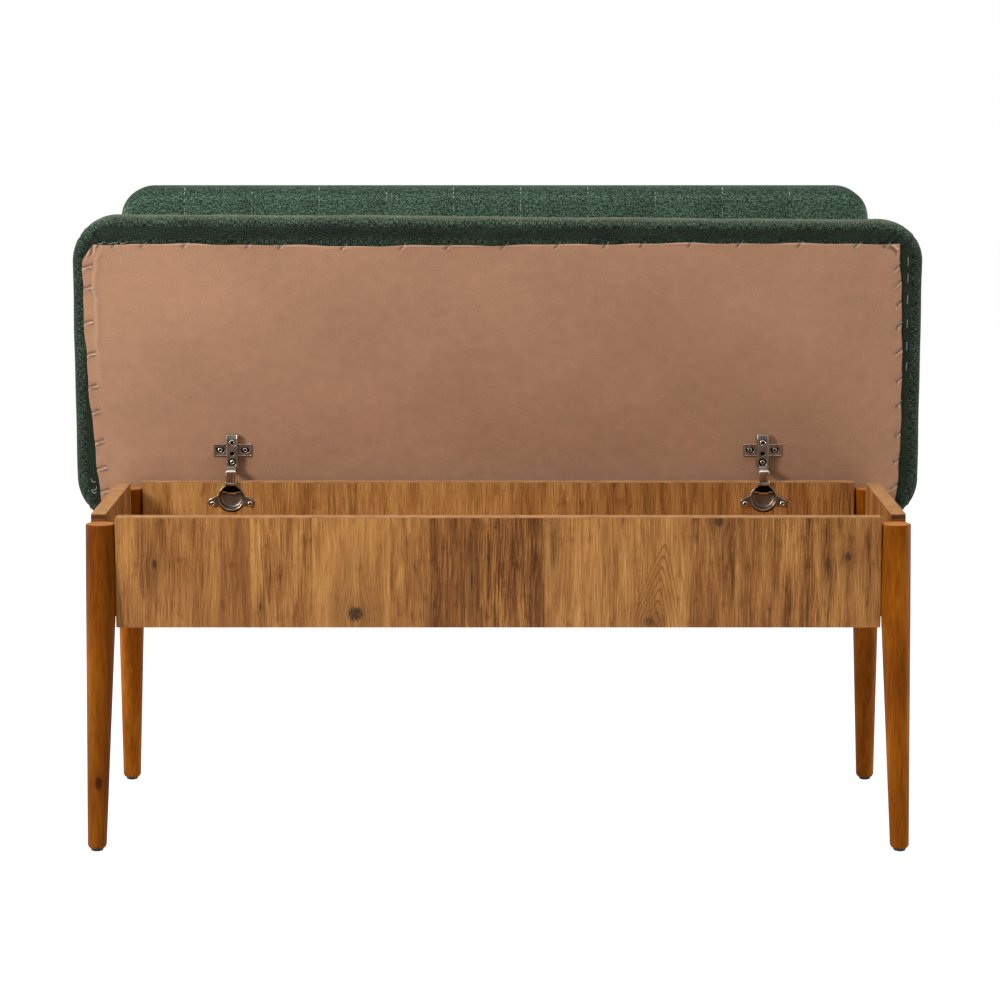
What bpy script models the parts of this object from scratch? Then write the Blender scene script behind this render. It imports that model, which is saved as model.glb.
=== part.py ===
"""Storage bench with a padded seat lid and a channelled backrest, in metres, modelled with the lid open.

The shallow box stands between four turned, splayed legs. The seat lid turns about one axis along the
box's rear top edge, on two concealed cup hinges. Two cranked steel bars behind the box carry the backrest.
Inside this file x = 0 and y = 0 are the middle of the box, and one empty moves the whole bench so that its
own box is centred.
"""

import math

import bmesh
import bpy
import numpy as np
from mathutils import Matrix, Vector

# Box
BOX_TOP = 0.400
PANEL_HEIGHT = 0.134
BOX_DEPTH = 0.328
FRONT_LENGTH = 0.915
BOARD = 0.018
BOTTOM_BOARD = 0.016
BOTTOM_RISE = 0.006
CORNER_CUT = 0.034
PANEL_BEVEL = 0.0008
CLEARANCE = 0.0003

# Legs
LEG_TOP = 0.391
LEG_RADIUS = 0.0175
LEG_GAP = 0.0004
SIDE_OUTSET = 0.0046
FOOT_RADIUS = 0.0115
TAPER_START = 0.275
FOOT_START = 0.014
SPLAY_X = 0.0059
SPLAY_Y = 0.037
LEG_BEVEL = 0.002
FOOT_ROUNDING = 0.0035
FOOT_EASE = 0.0009
GLIDE_RADIUS = 0.0075
GLIDE_THICKNESS = 0.003
GLIDE_EDGE = 0.001
GLIDE_ROUNDING = 0.0015
NAIL_RADIUS = 0.0012
NAIL_LENGTH = 0.012

# Corner braces, each bolted to its leg
BRACE_REACH = 0.050
BRACE_THICKNESS = 0.018
BRACE_HEIGHT = 0.055
BRACE_BOLT_RADIUS = 0.004
BRACE_BOLT_INTO_LEG = 0.004
BRACE_HEAD_RADIUS = 0.0070
BRACE_HEAD = 0.0045

# Seat lid, a little to the left of the box. Its sizes are taken from a line on its underside, which lies
# behind and above the hinge axis.
LID_WIDTH = 1.094
LID_SHIFT = -0.0013
LID_FRONT = 0.340
LID_OVERHANG = 0.060
LID_THICKNESS = 0.060
LID_CORNER = 0.060
LID_GAP = 0.0012
LID_SETBACK = 0.0133
LID_RISE = 0.0116
LID_BOARD = 0.015
LID_BOARD_INSET = 0.016
LOWER_EDGE = 0.016
UPPER_EDGE = 0.024
LID_CROWN = 0.007
LID_CROWN_SCALES = (0.86, 0.6, 0.25)
LID_BOW_STEPS = 5
LID_END_STEPS = 1
SIDE_PULL = 0.002
COVER = 0.0012
COVER_TURN_IN = 0.040
LINING = 0.0008

# Lining outline on the lid's underside: x, then height above that line
LINING_OUTLINE = (
    (-0.518, 0.303),
    (-0.532, 0.283),
    (-0.531, 0.205),
    (-0.527, 0.122),
    (-0.5175, 0.018),
    (-0.513, -0.030),
    (-0.500, -0.043),
    (0.500, -0.043),
    (0.514, -0.030),
    (0.519, 0.005),
    (0.521, 0.100),
    (0.5155, 0.303),
)

# Cup hinges
HINGE_X = 0.342
CUP_RADIUS = 0.0175
CUP_EDGE = 0.005
CUP_DEPTH = 0.0115
CUP_WALL = 0.0012
FLANGE = 0.0012
FLANGE_RADIUS = 0.0195
EAR_SPREAD = 0.024
EAR_DROP = 0.006
EAR_RADIUS = 0.006
EAR_BRIDGE_SHARE = 0.9
CUP_SCREW_RADIUS = 0.0018
CUP_SCREW_HEAD = 0.0035
CUP_SCREW_LENGTH = 0.013
PLATE_RISE = 0.0375
PLATE_WIDTH = 0.049
PLATE_HEIGHT = 0.016
PLATE_THICKNESS = 0.002
SPINE_WIDTH = 0.0110
SPINE_RISE = 0.006
ARM_START = 0.0155
ARM_LENGTH = 0.0430
ARM_WIDTH = 0.0150
ARM_WALL = 0.0014
ARM_RISE = 0.0110
ARM_FOOT = 0.003
ARM_SCREWS = (("adjusting", 0.0225), ("clamping", 0.0480))
ARM_HOLE = 0.0337
NOSE_WIDTH = 0.0110
NOSE_HEIGHT = 0.0054
NOSE_DROP = 0.0025
NOSE_REACH = 0.0123
NOSE_SINK = 0.0010
ARM_SCREW_RADIUS = 0.0022
ARM_SCREW_HEAD = 0.0035
WING_SCREW_SPREAD = 0.016
WING_SCREW_RADIUS = 0.0018
WING_SCREW_HEAD = 0.0034
WING_SCREW_LENGTH = 0.0145
SCREW_HEAD_HEIGHT = 0.0016
RECESS_SHARE = 0.45
RECESS_DEPTH_SHARE = 0.5
HEAD_FLAT_SHARE = 0.8
HEAD_SIDE_SHARE = 0.6
TIP_SHARE = 0.4
PIN_RADIUS = 0.0015
PIN_DEPTH = 0.0055
PIN_BELOW_TOP = 0.014
PIN_END_GAP = 0.0003
LINK_WIDTH = 0.0130
LINK_THICKNESS = 0.0024
LINK_EYE = 0.0034

# Middle line of the bent link from its pin: towards the front, then up
LINK_PATH = (
    (0.0, 0.0),
    (0.0070, 0.0035),
    (0.0105, 0.0100),
    (0.0108, 0.0260),
    (0.0090, 0.0295),
    (0.0050, 0.0305),
    (-0.0033, 0.0305),
)

# Backrest
BACKREST_WIDTH = 0.976
BACKREST_SHIFT = -0.005
BACKREST_BOTTOM = 0.480
BACKREST_TOP = 0.773
BACKREST_FRONT = 0.250
BACKREST_THICKNESS = 0.046
BACKREST_CORNER = 0.043
BACKREST_EDGE = 0.016
BACKREST_BOARD = 0.012
BACKREST_BOARD_INSET = 0.016
CHANNEL_PITCH = 0.0875
FIRST_CHANNEL = -0.4035
CHANNEL_COUNT = 10
CHANNEL_DEPTH = 0.0045
CHANNEL_FULLNESS = 0.8
CHANNEL_SHARES = (0.0, 0.14, 0.5, 0.86)
CHANNEL_MARGIN = 2
CHANNEL_FADE = 4
BACK_FACE_SHARES = (-0.8, 0.0, 0.8)
BACK_END_ZONE = 0.8
BACK_END_SHARES = (0.0, 0.04, 0.12, 0.27, 0.5, 0.75)

# Backrest bars
BAR_X = 0.300
BAR_WIDTH = 0.040
BAR_THICKNESS = 0.006
BAR_START = 0.274
BAR_RUN = 0.326
BAR_END = 0.640
BAR_BEND = 0.010
BAR_BOLT_RADIUS = 0.0035
BAR_BOLT_HEAD_RADIUS = 0.0070
BAR_BOLT_HEAD = 0.0040
LOWER_BOLT_HEIGHTS = (0.283, 0.303)
UPPER_BOLT_HEIGHTS = (0.600,)
LOWER_BOLT_SINK = 0.014
UPPER_BOLT_SINK = 0.009

ROUND_SIDES = 12
CUP_SIDES = 32
CORNER_STEPS = 4
BEND_STEPS = 4
WELD = 0.00001
LEG_STEPS = 24
EDGE_ANGLES = np.radians((0, 30, 60, 90))
SIDES = (("left", -1), ("right", 1))
ENDS = (("front", -1), ("rear", 1))

# Finishes: colour, roughness and metallic value
PINE_BOARD = ((0.31, 0.14, 0.047), 0.5, 0.0)
STAINED_WOOD = ((0.19, 0.055, 0.008), 0.4, 0.0)
PALE_WOOD = ((0.55, 0.38, 0.22), 0.7, 0.0)
GREEN_CLOTH = ((0.035, 0.065, 0.045), 0.9, 0.0)
DARK_CLOTH = ((0.017, 0.023, 0.017), 0.9, 0.0)
LINING_CLOTH = ((0.34, 0.17, 0.095), 0.9, 0.0)
FOAM = ((0.80, 0.75, 0.55), 0.9, 0.0)
STEEL = ((0.55, 0.53, 0.50), 0.3, 1.0)
BRIGHT_STEEL = ((0.62, 0.60, 0.57), 0.25, 1.0)
BLACK_STEEL = ((0.03, 0.03, 0.03), 0.5, 0.6)

# Values that follow from the driving dimensions
PANEL_BOTTOM = BOX_TOP - PANEL_HEIGHT
PANEL_MID_Y = BOX_DEPTH / 2 - BOARD / 2
INNER_Y = BOX_DEPTH / 2 - BOARD
LEG_TOP_X = FRONT_LENGTH / 2 + LEG_GAP + LEG_RADIUS
LEG_TOP_Y = PANEL_MID_Y
SIDE_MID_X = LEG_TOP_X + SIDE_OUTSET
SIDE_INNER_X = SIDE_MID_X - BOARD / 2
BOTTOM_Z = PANEL_BOTTOM + BOTTOM_RISE + BOTTOM_BOARD / 2
BOTTOM_TOP = BOTTOM_Z + BOTTOM_BOARD / 2
BRACE_BOLT_HEIGHT = BOTTOM_TOP + CLEARANCE + BRACE_HEIGHT / 2
AXIS_Y = BOX_DEPTH / 2 + LID_GAP
AXIS_Z = BOX_TOP + LID_GAP - LID_SETBACK
COVER_START = LINING + CLEARANCE
LID_BOARD_START = COVER_START + COVER + CLEARANCE
CUP_Z = BOX_TOP - CUP_EDGE - CUP_RADIUS
PIN_Y = INNER_Y + PIN_DEPTH
PIN_Z = BOX_TOP - PIN_BELOW_TOP
BACKREST_REAR = BACKREST_FRONT + BACKREST_THICKNESS
BACKREST_MID_Z = (BACKREST_BOTTOM + BACKREST_TOP) / 2
BACKREST_HALF_HEIGHT = (BACKREST_TOP - BACKREST_BOTTOM) / 2
REAR_LINING_FACE = BACKREST_REAR + CLEARANCE + LINING
BACK_BOARD_REAR = BACKREST_REAR - COVER - CLEARANCE
BAR_REAR_Y = REAR_LINING_FACE + CLEARANCE + BAR_THICKNESS / 2
BAR_FRONT_Y = BOX_DEPTH / 2 + CLEARANCE + BAR_THICKNESS / 2
REAR_REACH = BAR_REAR_Y + BAR_THICKNESS / 2 + CLEARANCE + BAR_BOLT_HEAD


def leg_centre(height):
    """Place of a leg's middle, as x and y, at a height.

    Along y a leg leans from its top. Along x it stands upright down to its taper and leans outwards
    below it.
    """
    out = SPLAY_X * max(0.0, 1 - height / TAPER_START)
    return LEG_TOP_X + out, LEG_TOP_Y + SPLAY_Y * (1 - height / LEG_TOP)


FRONT_REACH = leg_centre(FOOT_START)[1] + FOOT_RADIUS
CENTRING = (FRONT_REACH - REAR_REACH) / 2


def clear_scene():
    for old in list(bpy.data.objects):
        bpy.data.objects.remove(old, do_unlink=True)


def make_material(name, colour, roughness, metallic=0.0):
    material = bpy.data.materials.new(name)
    material.use_nodes = True
    shader = material.node_tree.nodes["Principled BSDF"]
    shader.inputs["Base Color"].default_value = (*colour, 1.0)
    shader.inputs["Roughness"].default_value = roughness
    shader.inputs["Metallic"].default_value = metallic
    return material


def make_collection(name):
    collection = bpy.data.collections.new(name)
    bpy.context.scene.collection.children.link(collection)
    return collection


def make_empty(name, location, parent=None):
    empty = bpy.data.objects.new(name, None)
    parts.objects.link(empty)
    empty.location = location
    empty.parent = parent
    return empty


def add_part(name, mesh, finish, location=(0, 0, 0), parent=None):
    """Adds one named sub-part with a material of its own.

    A finish is a colour, roughness and metallic value.
    """
    part = bpy.data.objects.new(name, mesh)
    parts.objects.link(part)
    mesh.materials.append(make_material(name, *finish))
    part.location = location
    part.parent = parent or bench
    return part


def add_cutter(name, mesh, parent=None):
    cutter = bpy.data.objects.new(name, mesh)
    cutters.objects.link(cutter)
    cutter.hide_render = True
    cutter.display_type = "WIRE"
    cutter.parent = parent or bench
    return cutter


def combine(part, other, operation):
    modifier = part.modifiers.new(other.name, "BOOLEAN")
    modifier.operation = operation
    modifier.object = other
    modifier.solver = "EXACT"


def soften(part, width):
    modifier = part.modifiers.new("soft_edges", "BEVEL")
    modifier.width = width
    modifier.segments = 1
    modifier.limit_method = "ANGLE"


def turn_to(axis):
    """Matrix that turns +Z onto the axis."""
    return Vector((0, 0, 1)).rotation_difference(Vector(axis)).to_matrix().to_4x4()


def box_mesh(name, size, centre=(0, 0, 0)):
    builder = bmesh.new()
    place = Matrix.Translation(centre) @ Matrix.Diagonal((*size, 1))
    bmesh.ops.create_cube(builder, size=1, matrix=place)
    mesh = bpy.data.meshes.new(name)
    builder.to_mesh(mesh)
    builder.free()
    return mesh


def rods_mesh(name, rods, sides=ROUND_SIDES):
    """Round rods, each given as its two ends and its radius."""
    builder = bmesh.new()
    for start, finish, radius in rods:
        start, finish = Vector(start), Vector(finish)
        place = Matrix.Translation((start + finish) / 2) @ turn_to(finish - start)
        bmesh.ops.create_cone(
            builder,
            cap_ends=True,
            segments=sides,
            radius1=radius,
            radius2=radius,
            depth=(finish - start).length,
            matrix=place,
        )
    mesh = bpy.data.meshes.new(name)
    builder.to_mesh(mesh)
    builder.free()
    return mesh


def drill(part, name, rods, parent=None, sides=ROUND_SIDES):
    """Cuts round holes, given as rods, out of the part."""
    combine(part, add_cutter(name, rods_mesh(name, rods, sides), parent), "DIFFERENCE")


def evaluated_mesh(thing):
    """The object's evaluated mesh, with its caps welded and facing outwards. The object is removed."""
    graph = bpy.context.evaluated_depsgraph_get()
    mesh = bpy.data.meshes.new_from_object(thing.evaluated_get(graph))
    name = thing.name
    bpy.data.objects.remove(thing, do_unlink=True)
    builder = bmesh.new()
    builder.from_mesh(mesh)
    bmesh.ops.remove_doubles(builder, verts=builder.verts, dist=WELD)
    bmesh.ops.recalc_face_normals(builder, faces=builder.faces)
    builder.to_mesh(mesh)
    builder.free()
    mesh.name = name
    return mesh


def plate_mesh(name, outline, thickness, normal="Z"):
    """Flat plate from an outline of points, made as a filled 2D curve.

    With normal Y the outline is x and z, and with normal X it is y and z.
    """
    curve = bpy.data.curves.new(name, "CURVE")
    curve.dimensions = "2D"
    curve.fill_mode = "BOTH"
    curve.extrude = thickness / 2
    spline = curve.splines.new("POLY")
    spline.points.add(len(outline) - 1)
    for point, (u, v) in zip(spline.points, outline):
        point.co = (u, v, 0, 1)
    spline.use_cyclic_u = True
    thing = bpy.data.objects.new(name, curve)
    parts.objects.link(thing)
    mesh = evaluated_mesh(thing)
    if normal == "Y":
        mesh.transform(Matrix.Rotation(math.radians(90), 4, "X"))
    if normal == "X":
        mesh.transform(Matrix(((0, 0, 1, 0), (1, 0, 0, 0), (0, 1, 0, 0), (0, 0, 0, 1))))
    return mesh


def turned_mesh(name, profile, steps=ROUND_SIDES, axis=(0, 0, 1)):
    """Solid of revolution: the profile is radius and height, from the top down its outer side."""
    mesh = bpy.data.meshes.new(name)
    points = [(radius, 0, height) for radius, height in profile]
    mesh.from_pydata(points, [(i, i + 1) for i in range(len(points) - 1)], [])
    thing = bpy.data.objects.new(name, mesh)
    parts.objects.link(thing)
    screw = thing.modifiers.new("turn", "SCREW")
    screw.axis = "Z"
    screw.steps = steps
    screw.render_steps = steps
    screw.use_merge_vertices = True
    screw.merge_threshold = WELD
    mesh = evaluated_mesh(thing)
    mesh.transform(turn_to(axis))
    return mesh


def add_screw(name, place, axis, shank, head, parent=None):
    """Screw whose head sits on the place and whose shank runs back along the axis.

    Shank and head are each a radius and a length. The head has a round drive recess.
    """
    shank_radius, shank_length = shank
    head_radius, head_height = head
    recess = head_radius * RECESS_SHARE
    profile = [
        (0, head_height * RECESS_DEPTH_SHARE),
        (recess, head_height * RECESS_DEPTH_SHARE),
        (recess, head_height),
        (head_radius * HEAD_FLAT_SHARE, head_height),
        (head_radius, head_height * HEAD_SIDE_SHARE),
        (head_radius, 0),
        (shank_radius, 0),
        (shank_radius, -shank_length + shank_radius),
        (shank_radius * TIP_SHARE, -shank_length),
        (0, -shank_length),
    ]
    return add_part(name, turned_mesh(name, profile, axis=axis), BRIGHT_STEEL, place, parent)


def rounded_outline(half_width, half_height, radius, wide=0, tall=0, pull=0.0):
    """Rounded rectangle, anticlockwise from the lower right corner.

    Wide and tall give the extra points along each long and each short side. Pull draws the sides in, most at
    their middles and nothing at the corners.
    """
    corners = np.array(((1, -1), (1, 1), (-1, 1), (-1, -1)))
    middles = corners * (half_width - radius, half_height - radius)
    pieces = []
    for quarter in range(4):
        angles = math.radians(90 * quarter - 90) + np.linspace(0, math.pi / 2, CORNER_STEPS + 1)
        arc = middles[quarter] + radius * np.column_stack((np.cos(angles), np.sin(angles)))
        outward = np.array((math.cos(angles[-1]), math.sin(angles[-1])))
        side_start = arc[-1]
        side_finish = middles[(quarter + 1) % 4] + radius * outward
        extra = wide if quarter % 2 else tall
        shares = np.linspace(0, 1, extra + 2)[1:-1, None]
        bow = pull * (1 - (2 * shares - 1) ** 2)
        pieces += [arc, side_start + shares * (side_finish - side_start) - outward * bow]
    return np.concatenate(pieces)


def loft_mesh(name, rings):
    """Closed skin through rings of equal length, with a flat face on each end."""
    count = len(rings[0])
    around = np.arange(count)
    ahead = (around + 1) % count
    faces = [tuple(around[::-1].tolist())]
    for low in range(0, (len(rings) - 1) * count, count):
        high = low + count
        quads = np.column_stack((low + around, low + ahead, high + ahead, high + around))
        faces += [tuple(quad) for quad in quads.tolist()]
    faces.append(tuple(((len(rings) - 1) * count + around).tolist()))
    mesh = bpy.data.meshes.new(name)
    mesh.from_pydata(np.concatenate(rings).tolist(), [], faces)
    builder = bmesh.new()
    builder.from_mesh(mesh)
    bmesh.ops.recalc_face_normals(builder, faces=builder.faces)
    builder.to_mesh(mesh)
    builder.free()
    return mesh


def strip_outline(path, thickness):
    """Outline of a bent strip: the path moved half the thickness to each side, square to the path."""
    path = np.asarray(path, float)
    runs = np.diff(path, axis=0)
    runs /= np.linalg.norm(runs, axis=1)[:, None]
    normals = np.column_stack((-runs[:, 1], runs[:, 0]))
    middle = normals[:-1] + normals[1:]
    middle /= (1 + np.sum(normals[:-1] * normals[1:], axis=1))[:, None]
    offsets = np.concatenate((normals[:1], middle, normals[-1:])) * thickness / 2
    return np.concatenate((path + offsets, (path - offsets)[::-1]))


def rounded_path(corners, radius):
    """Path through the corners, with each inner corner turned into an arc of the radius."""
    points = [corners[0]]
    for before, corner, after in zip(corners, corners[1:], corners[2:]):
        corner = Vector(corner)
        back = (Vector(before) - corner).normalized()
        ahead = (Vector(after) - corner).normalized()
        half = back.angle(ahead) / 2
        centre = corner + (back + ahead).normalized() * radius / math.sin(half)
        first = corner + back * radius / math.tan(half) - centre
        last = corner + ahead * radius / math.tan(half) - centre
        for share in np.linspace(0, 1, BEND_STEPS + 1):
            blend = first * (1 - share) + last * share
            points.append(tuple(centre + blend.normalized() * radius))
    points.append(corners[-1])
    return points


def side_end(height):
    """Half length of a side panel at a height: its ends are cut to the lean of the legs."""
    return leg_centre(height)[1] - LEG_RADIUS - CLEARANCE


def build_box():
    panel_z = PANEL_BOTTOM + PANEL_HEIGHT / 2
    for name, end in (("front_panel", -1), ("back_panel", 1)):
        mesh = box_mesh(name, (FRONT_LENGTH, BOARD, PANEL_HEIGHT))
        panel = add_part(name, mesh, PINE_BOARD, (0, end * PANEL_MID_Y, panel_z))
        soften(panel, PANEL_BEVEL)
        if end > 0:
            bore_back_panel(panel)
    low, high = PANEL_BOTTOM, BOX_TOP
    outline = [
        (-side_end(low), low),
        (side_end(low), low),
        (side_end(high), high),
        (-side_end(high), high),
    ]
    for label, side in SIDES:
        name = label + "_side_panel"
        panel = add_part(name, plate_mesh(name, outline, BOARD, "X"), PINE_BOARD, (side * SIDE_MID_X, 0, 0))
        soften(panel, PANEL_BEVEL)

    # The bottom board has its corners cut off to clear the legs.
    half_x = SIDE_INNER_X - CLEARANCE
    half_y = INNER_Y - CLEARANCE
    outline = [
        (half_x - CORNER_CUT, -half_y),
        (half_x, CORNER_CUT - half_y),
        (half_x, half_y - CORNER_CUT),
        (half_x - CORNER_CUT, half_y),
        (CORNER_CUT - half_x, half_y),
        (-half_x, half_y - CORNER_CUT),
        (-half_x, CORNER_CUT - half_y),
        (CORNER_CUT - half_x, -half_y),
    ]
    mesh = plate_mesh("bottom_panel", outline, BOTTOM_BOARD)
    add_part("bottom_panel", mesh, PINE_BOARD, (0, 0, BOTTOM_Z))


def bore_back_panel(panel):
    """Hinge cup bores and pilot holes for the cup screws and the lower bar bolts."""
    bores, cup_pilots = [], []
    for _, side in SIDES:
        x = LID_SHIFT + side * HINGE_X
        bores.append(((x, INNER_Y - BOARD, CUP_Z), (x, INNER_Y + CUP_DEPTH + CLEARANCE, CUP_Z), CUP_RADIUS))
        for ear in (-1, 1):
            place = Vector((x + ear * EAR_SPREAD, INNER_Y, CUP_Z - EAR_DROP))
            depth = Vector((0, CUP_SCREW_LENGTH - FLANGE, 0))
            cup_pilots.append((place - depth, place + depth, CUP_SCREW_RADIUS + CLEARANCE))
    drill(panel, "cup_bores", bores, sides=CUP_SIDES)
    drill(panel, "cup_screw_pilots", cup_pilots)
    bolt_pilots = []
    for _, side in SIDES:
        for height in LOWER_BOLT_HEIGHTS:
            start = (side * BAR_X, BOX_DEPTH / 2 - LOWER_BOLT_SINK - CLEARANCE, height)
            finish = (side * BAR_X, BOX_DEPTH / 2 + BOARD, height)
            bolt_pilots.append((start, finish, BAR_BOLT_RADIUS + CLEARANCE))
    drill(panel, "bar_bolt_pilots", bolt_pilots)


def brace_bolt_line(side, end):
    """Place where a brace bolt passes its leg's middle, and the direction from there into the box.

    The bolt runs through the gap between the ends of the two panels.
    """
    height = BRACE_BOLT_HEIGHT
    x, y = leg_centre(height)
    leg = Vector((side * x, end * y, height))
    gap_x = (FRONT_LENGTH / 2 + SIDE_INNER_X) / 2
    gap_y = (INNER_Y + side_end(height)) / 2
    gap = Vector((side * gap_x, end * gap_y, height))
    inward = Vector((-side, -end, 0)).normalized()
    return gap + inward * (leg - gap).dot(inward), inward


def build_legs():
    """Turned legs, shifted at each height so that they lean outwards while both their ends stay level."""
    foot_z = GLIDE_THICKNESS + CLEARANCE
    profile = [
        (0, LEG_TOP),
        (LEG_RADIUS - LEG_BEVEL, LEG_TOP),
        (LEG_RADIUS, LEG_TOP - LEG_BEVEL),
        (LEG_RADIUS, TAPER_START),
        (FOOT_RADIUS, FOOT_START),
        (FOOT_RADIUS - FOOT_EASE, foot_z + FOOT_ROUNDING),
        (FOOT_RADIUS - FOOT_ROUNDING, foot_z),
        (0, foot_z),
    ]
    glide_profile = [
        (0, foot_z + NAIL_LENGTH),
        (NAIL_RADIUS, foot_z + NAIL_LENGTH),
        (NAIL_RADIUS, GLIDE_THICKNESS),
        (GLIDE_RADIUS, GLIDE_THICKNESS),
        (GLIDE_RADIUS, GLIDE_EDGE),
        (GLIDE_RADIUS - GLIDE_ROUNDING, 0),
        (0, 0),
    ]
    foot_x, foot_y = leg_centre(0)
    for end_name, end in ENDS:
        for side_name, side in SIDES:
            corner = f"{end_name}_{side_name}"
            mesh = turned_mesh(corner + "_leg", profile, LEG_STEPS)
            for vertex in mesh.vertices:
                x, y = leg_centre(vertex.co.z)
                vertex.co.x += side * (x - foot_x)
                vertex.co.y += end * (y - foot_y)
            foot = Vector((side * foot_x, end * foot_y, 0))
            leg = add_part(corner + "_leg", mesh, STAINED_WOOD, foot)
            mesh.shade_smooth()
            mesh.set_sharp_from_angle(angle=math.radians(30))
            centre, inward = brace_bolt_line(side, end)
            hole_start = centre - inward * (BRACE_BOLT_INTO_LEG + CLEARANCE)
            hole_finish = centre + inward * 2 * LEG_RADIUS
            bolt_hole = (hole_start, hole_finish, BRACE_BOLT_RADIUS + CLEARANCE)
            drill(leg, corner + "_bolt_hole", [bolt_hole])
            up = Vector((0, 0, 1))
            nail_hole = (foot, foot + up * (foot_z + NAIL_LENGTH + CLEARANCE), NAIL_RADIUS + CLEARANCE)
            drill(leg, corner + "_nail_hole", [nail_hole])
            glide = turned_mesh(corner + "_glide", glide_profile)
            add_part(corner + "_glide", glide, BRIGHT_STEEL, foot)


def build_braces():
    """Diagonal hardwood braces in the corners of the box, each with one bolt into its leg."""
    near_x = SIDE_INNER_X - CLEARANCE
    near_y = INNER_Y - CLEARANCE
    along = BRACE_THICKNESS * math.sqrt(2)
    for end_name, end in ENDS:
        for side_name, side in SIDES:
            corner = f"{end_name}_{side_name}"
            outline = [
                (side * (near_x - BRACE_REACH), end * near_y),
                (side * near_x, end * (near_y - BRACE_REACH)),
                (side * near_x, end * (near_y - BRACE_REACH - along)),
                (side * (near_x - BRACE_REACH - along), end * near_y),
            ]
            mesh = plate_mesh(corner + "_brace", outline, BRACE_HEIGHT)
            brace = add_part(corner + "_brace", mesh, PALE_WOOD, (0, 0, BRACE_BOLT_HEIGHT))
            centre, inward = brace_bolt_line(side, end)
            diagonal = (near_x - BRACE_REACH + near_y) / math.sqrt(2)
            inner_face = (abs(centre.x) + abs(centre.y)) / math.sqrt(2) - diagonal + BRACE_THICKNESS
            hole = (centre, centre + inward * 2 * inner_face, BRACE_BOLT_RADIUS + CLEARANCE)
            drill(brace, corner + "_brace_hole", [hole])
            head_place = centre + inward * (inner_face + CLEARANCE)
            shank = (BRACE_BOLT_RADIUS, inner_face + CLEARANCE + BRACE_BOLT_INTO_LEG)
            head = (BRACE_HEAD_RADIUS, BRACE_HEAD)
            add_screw(corner + "_brace_bolt", head_place, inward, shank, head)


def lid_ring(inset, depth, scale=1.0):
    """Ring of the seat's form: the lid's outline drawn in by the inset, at a depth above the underside."""
    outline = rounded_outline(
        LID_WIDTH / 2 - inset,
        (LID_FRONT + LID_OVERHANG) / 2 - inset,
        LID_CORNER - inset,
        wide=LID_BOW_STEPS,
        tall=LID_END_STEPS,
        pull=SIDE_PULL,
    )
    middle = (LID_FRONT - LID_OVERHANG) / 2
    outline = outline * scale
    return np.column_stack((outline[:, 0], np.full(len(outline), depth), outline[:, 1] + middle))


def lid_form(name, skin):
    """The seat's padded form, drawn in by the skin on every side.

    The lower edge is one arc, the upper edge is a wider one, and the top rises to a crown.
    """
    rings = []
    lower, upper = LOWER_EDGE - skin, UPPER_EDGE - skin
    edge_top = LID_THICKNESS - LID_CROWN - UPPER_EDGE
    for angle in EDGE_ANGLES[::-1]:
        depth = COVER_START + LOWER_EDGE - lower * math.sin(angle)
        rings.append(lid_ring(LOWER_EDGE - lower * math.cos(angle), depth))
    for angle in EDGE_ANGLES:
        depth = edge_top + upper * math.sin(angle)
        rings.append(lid_ring(UPPER_EDGE - upper * math.cos(angle), depth))
    for scale in LID_CROWN_SCALES:
        depth = edge_top + upper + LID_CROWN * (1 - scale**2)
        rings.append(lid_ring(UPPER_EDGE, depth, scale))
    return loft_mesh(name, rings)


def lid_plate(name, inset, start, finish):
    """Flat rounded plate of the lid's outline, drawn in by the inset, between two depths."""
    return loft_mesh(name, [lid_ring(inset, start), lid_ring(inset, finish)])


def wing_screw_places():
    """Place of each mounting plate's two wing screws on the lid's underside."""
    return {
        f"{label}_plate_screw_{way}": Vector((side * HINGE_X + hand * WING_SCREW_SPREAD, 0, PLATE_RISE))
        for label, side in SIDES
        for way, hand in (("outer", side), ("inner", -side))
    }


def wing_screw_holes(start, finish):
    """Rods through the wing screws' places between two depths, with clearance."""
    radius = WING_SCREW_RADIUS + CLEARANCE
    return [
        (place + Vector((0, start, 0)), place + Vector((0, finish, 0)), radius)
        for place in wing_screw_places().values()
    ]


def build_lid():
    cover = add_part("seat_cover", lid_form("seat_cover", 0.0), GREEN_CLOTH, parent=lid_face)
    inside = add_cutter("cover_inside", lid_form("cover_inside", COVER), lid_face)
    combine(cover, inside, "DIFFERENCE")
    opening = lid_plate("cover_opening", COVER_TURN_IN, 0.0, COVER_START + 2 * COVER)
    combine(cover, add_cutter("cover_opening", opening, lid_face), "DIFFERENCE")

    board_finish = LID_BOARD_START + LID_BOARD
    foam = add_part("seat_foam", lid_form("seat_foam", COVER + CLEARANCE), FOAM, parent=lid_face)
    space = lid_plate("board_space", LID_BOARD_INSET - CLEARANCE, 0.0, board_finish + CLEARANCE)
    combine(foam, add_cutter("board_space", space, lid_face), "DIFFERENCE")

    mesh = lid_plate("seat_board", LID_BOARD_INSET, LID_BOARD_START, board_finish)
    board = add_part("seat_board", mesh, PALE_WOOD, parent=lid_face)
    drill(board, "board_screw_pilots", wing_screw_holes(0.0, WING_SCREW_LENGTH), lid_face)

    mesh = plate_mesh("seat_lining", LINING_OUTLINE, LINING, "Y")
    lining = add_part("seat_lining", mesh, LINING_CLOTH, (0, LINING / 2, 0), lid_face)
    drill(lining, "lining_screw_holes", wing_screw_holes(-LINING, 2 * LINING), lid_face)


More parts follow.
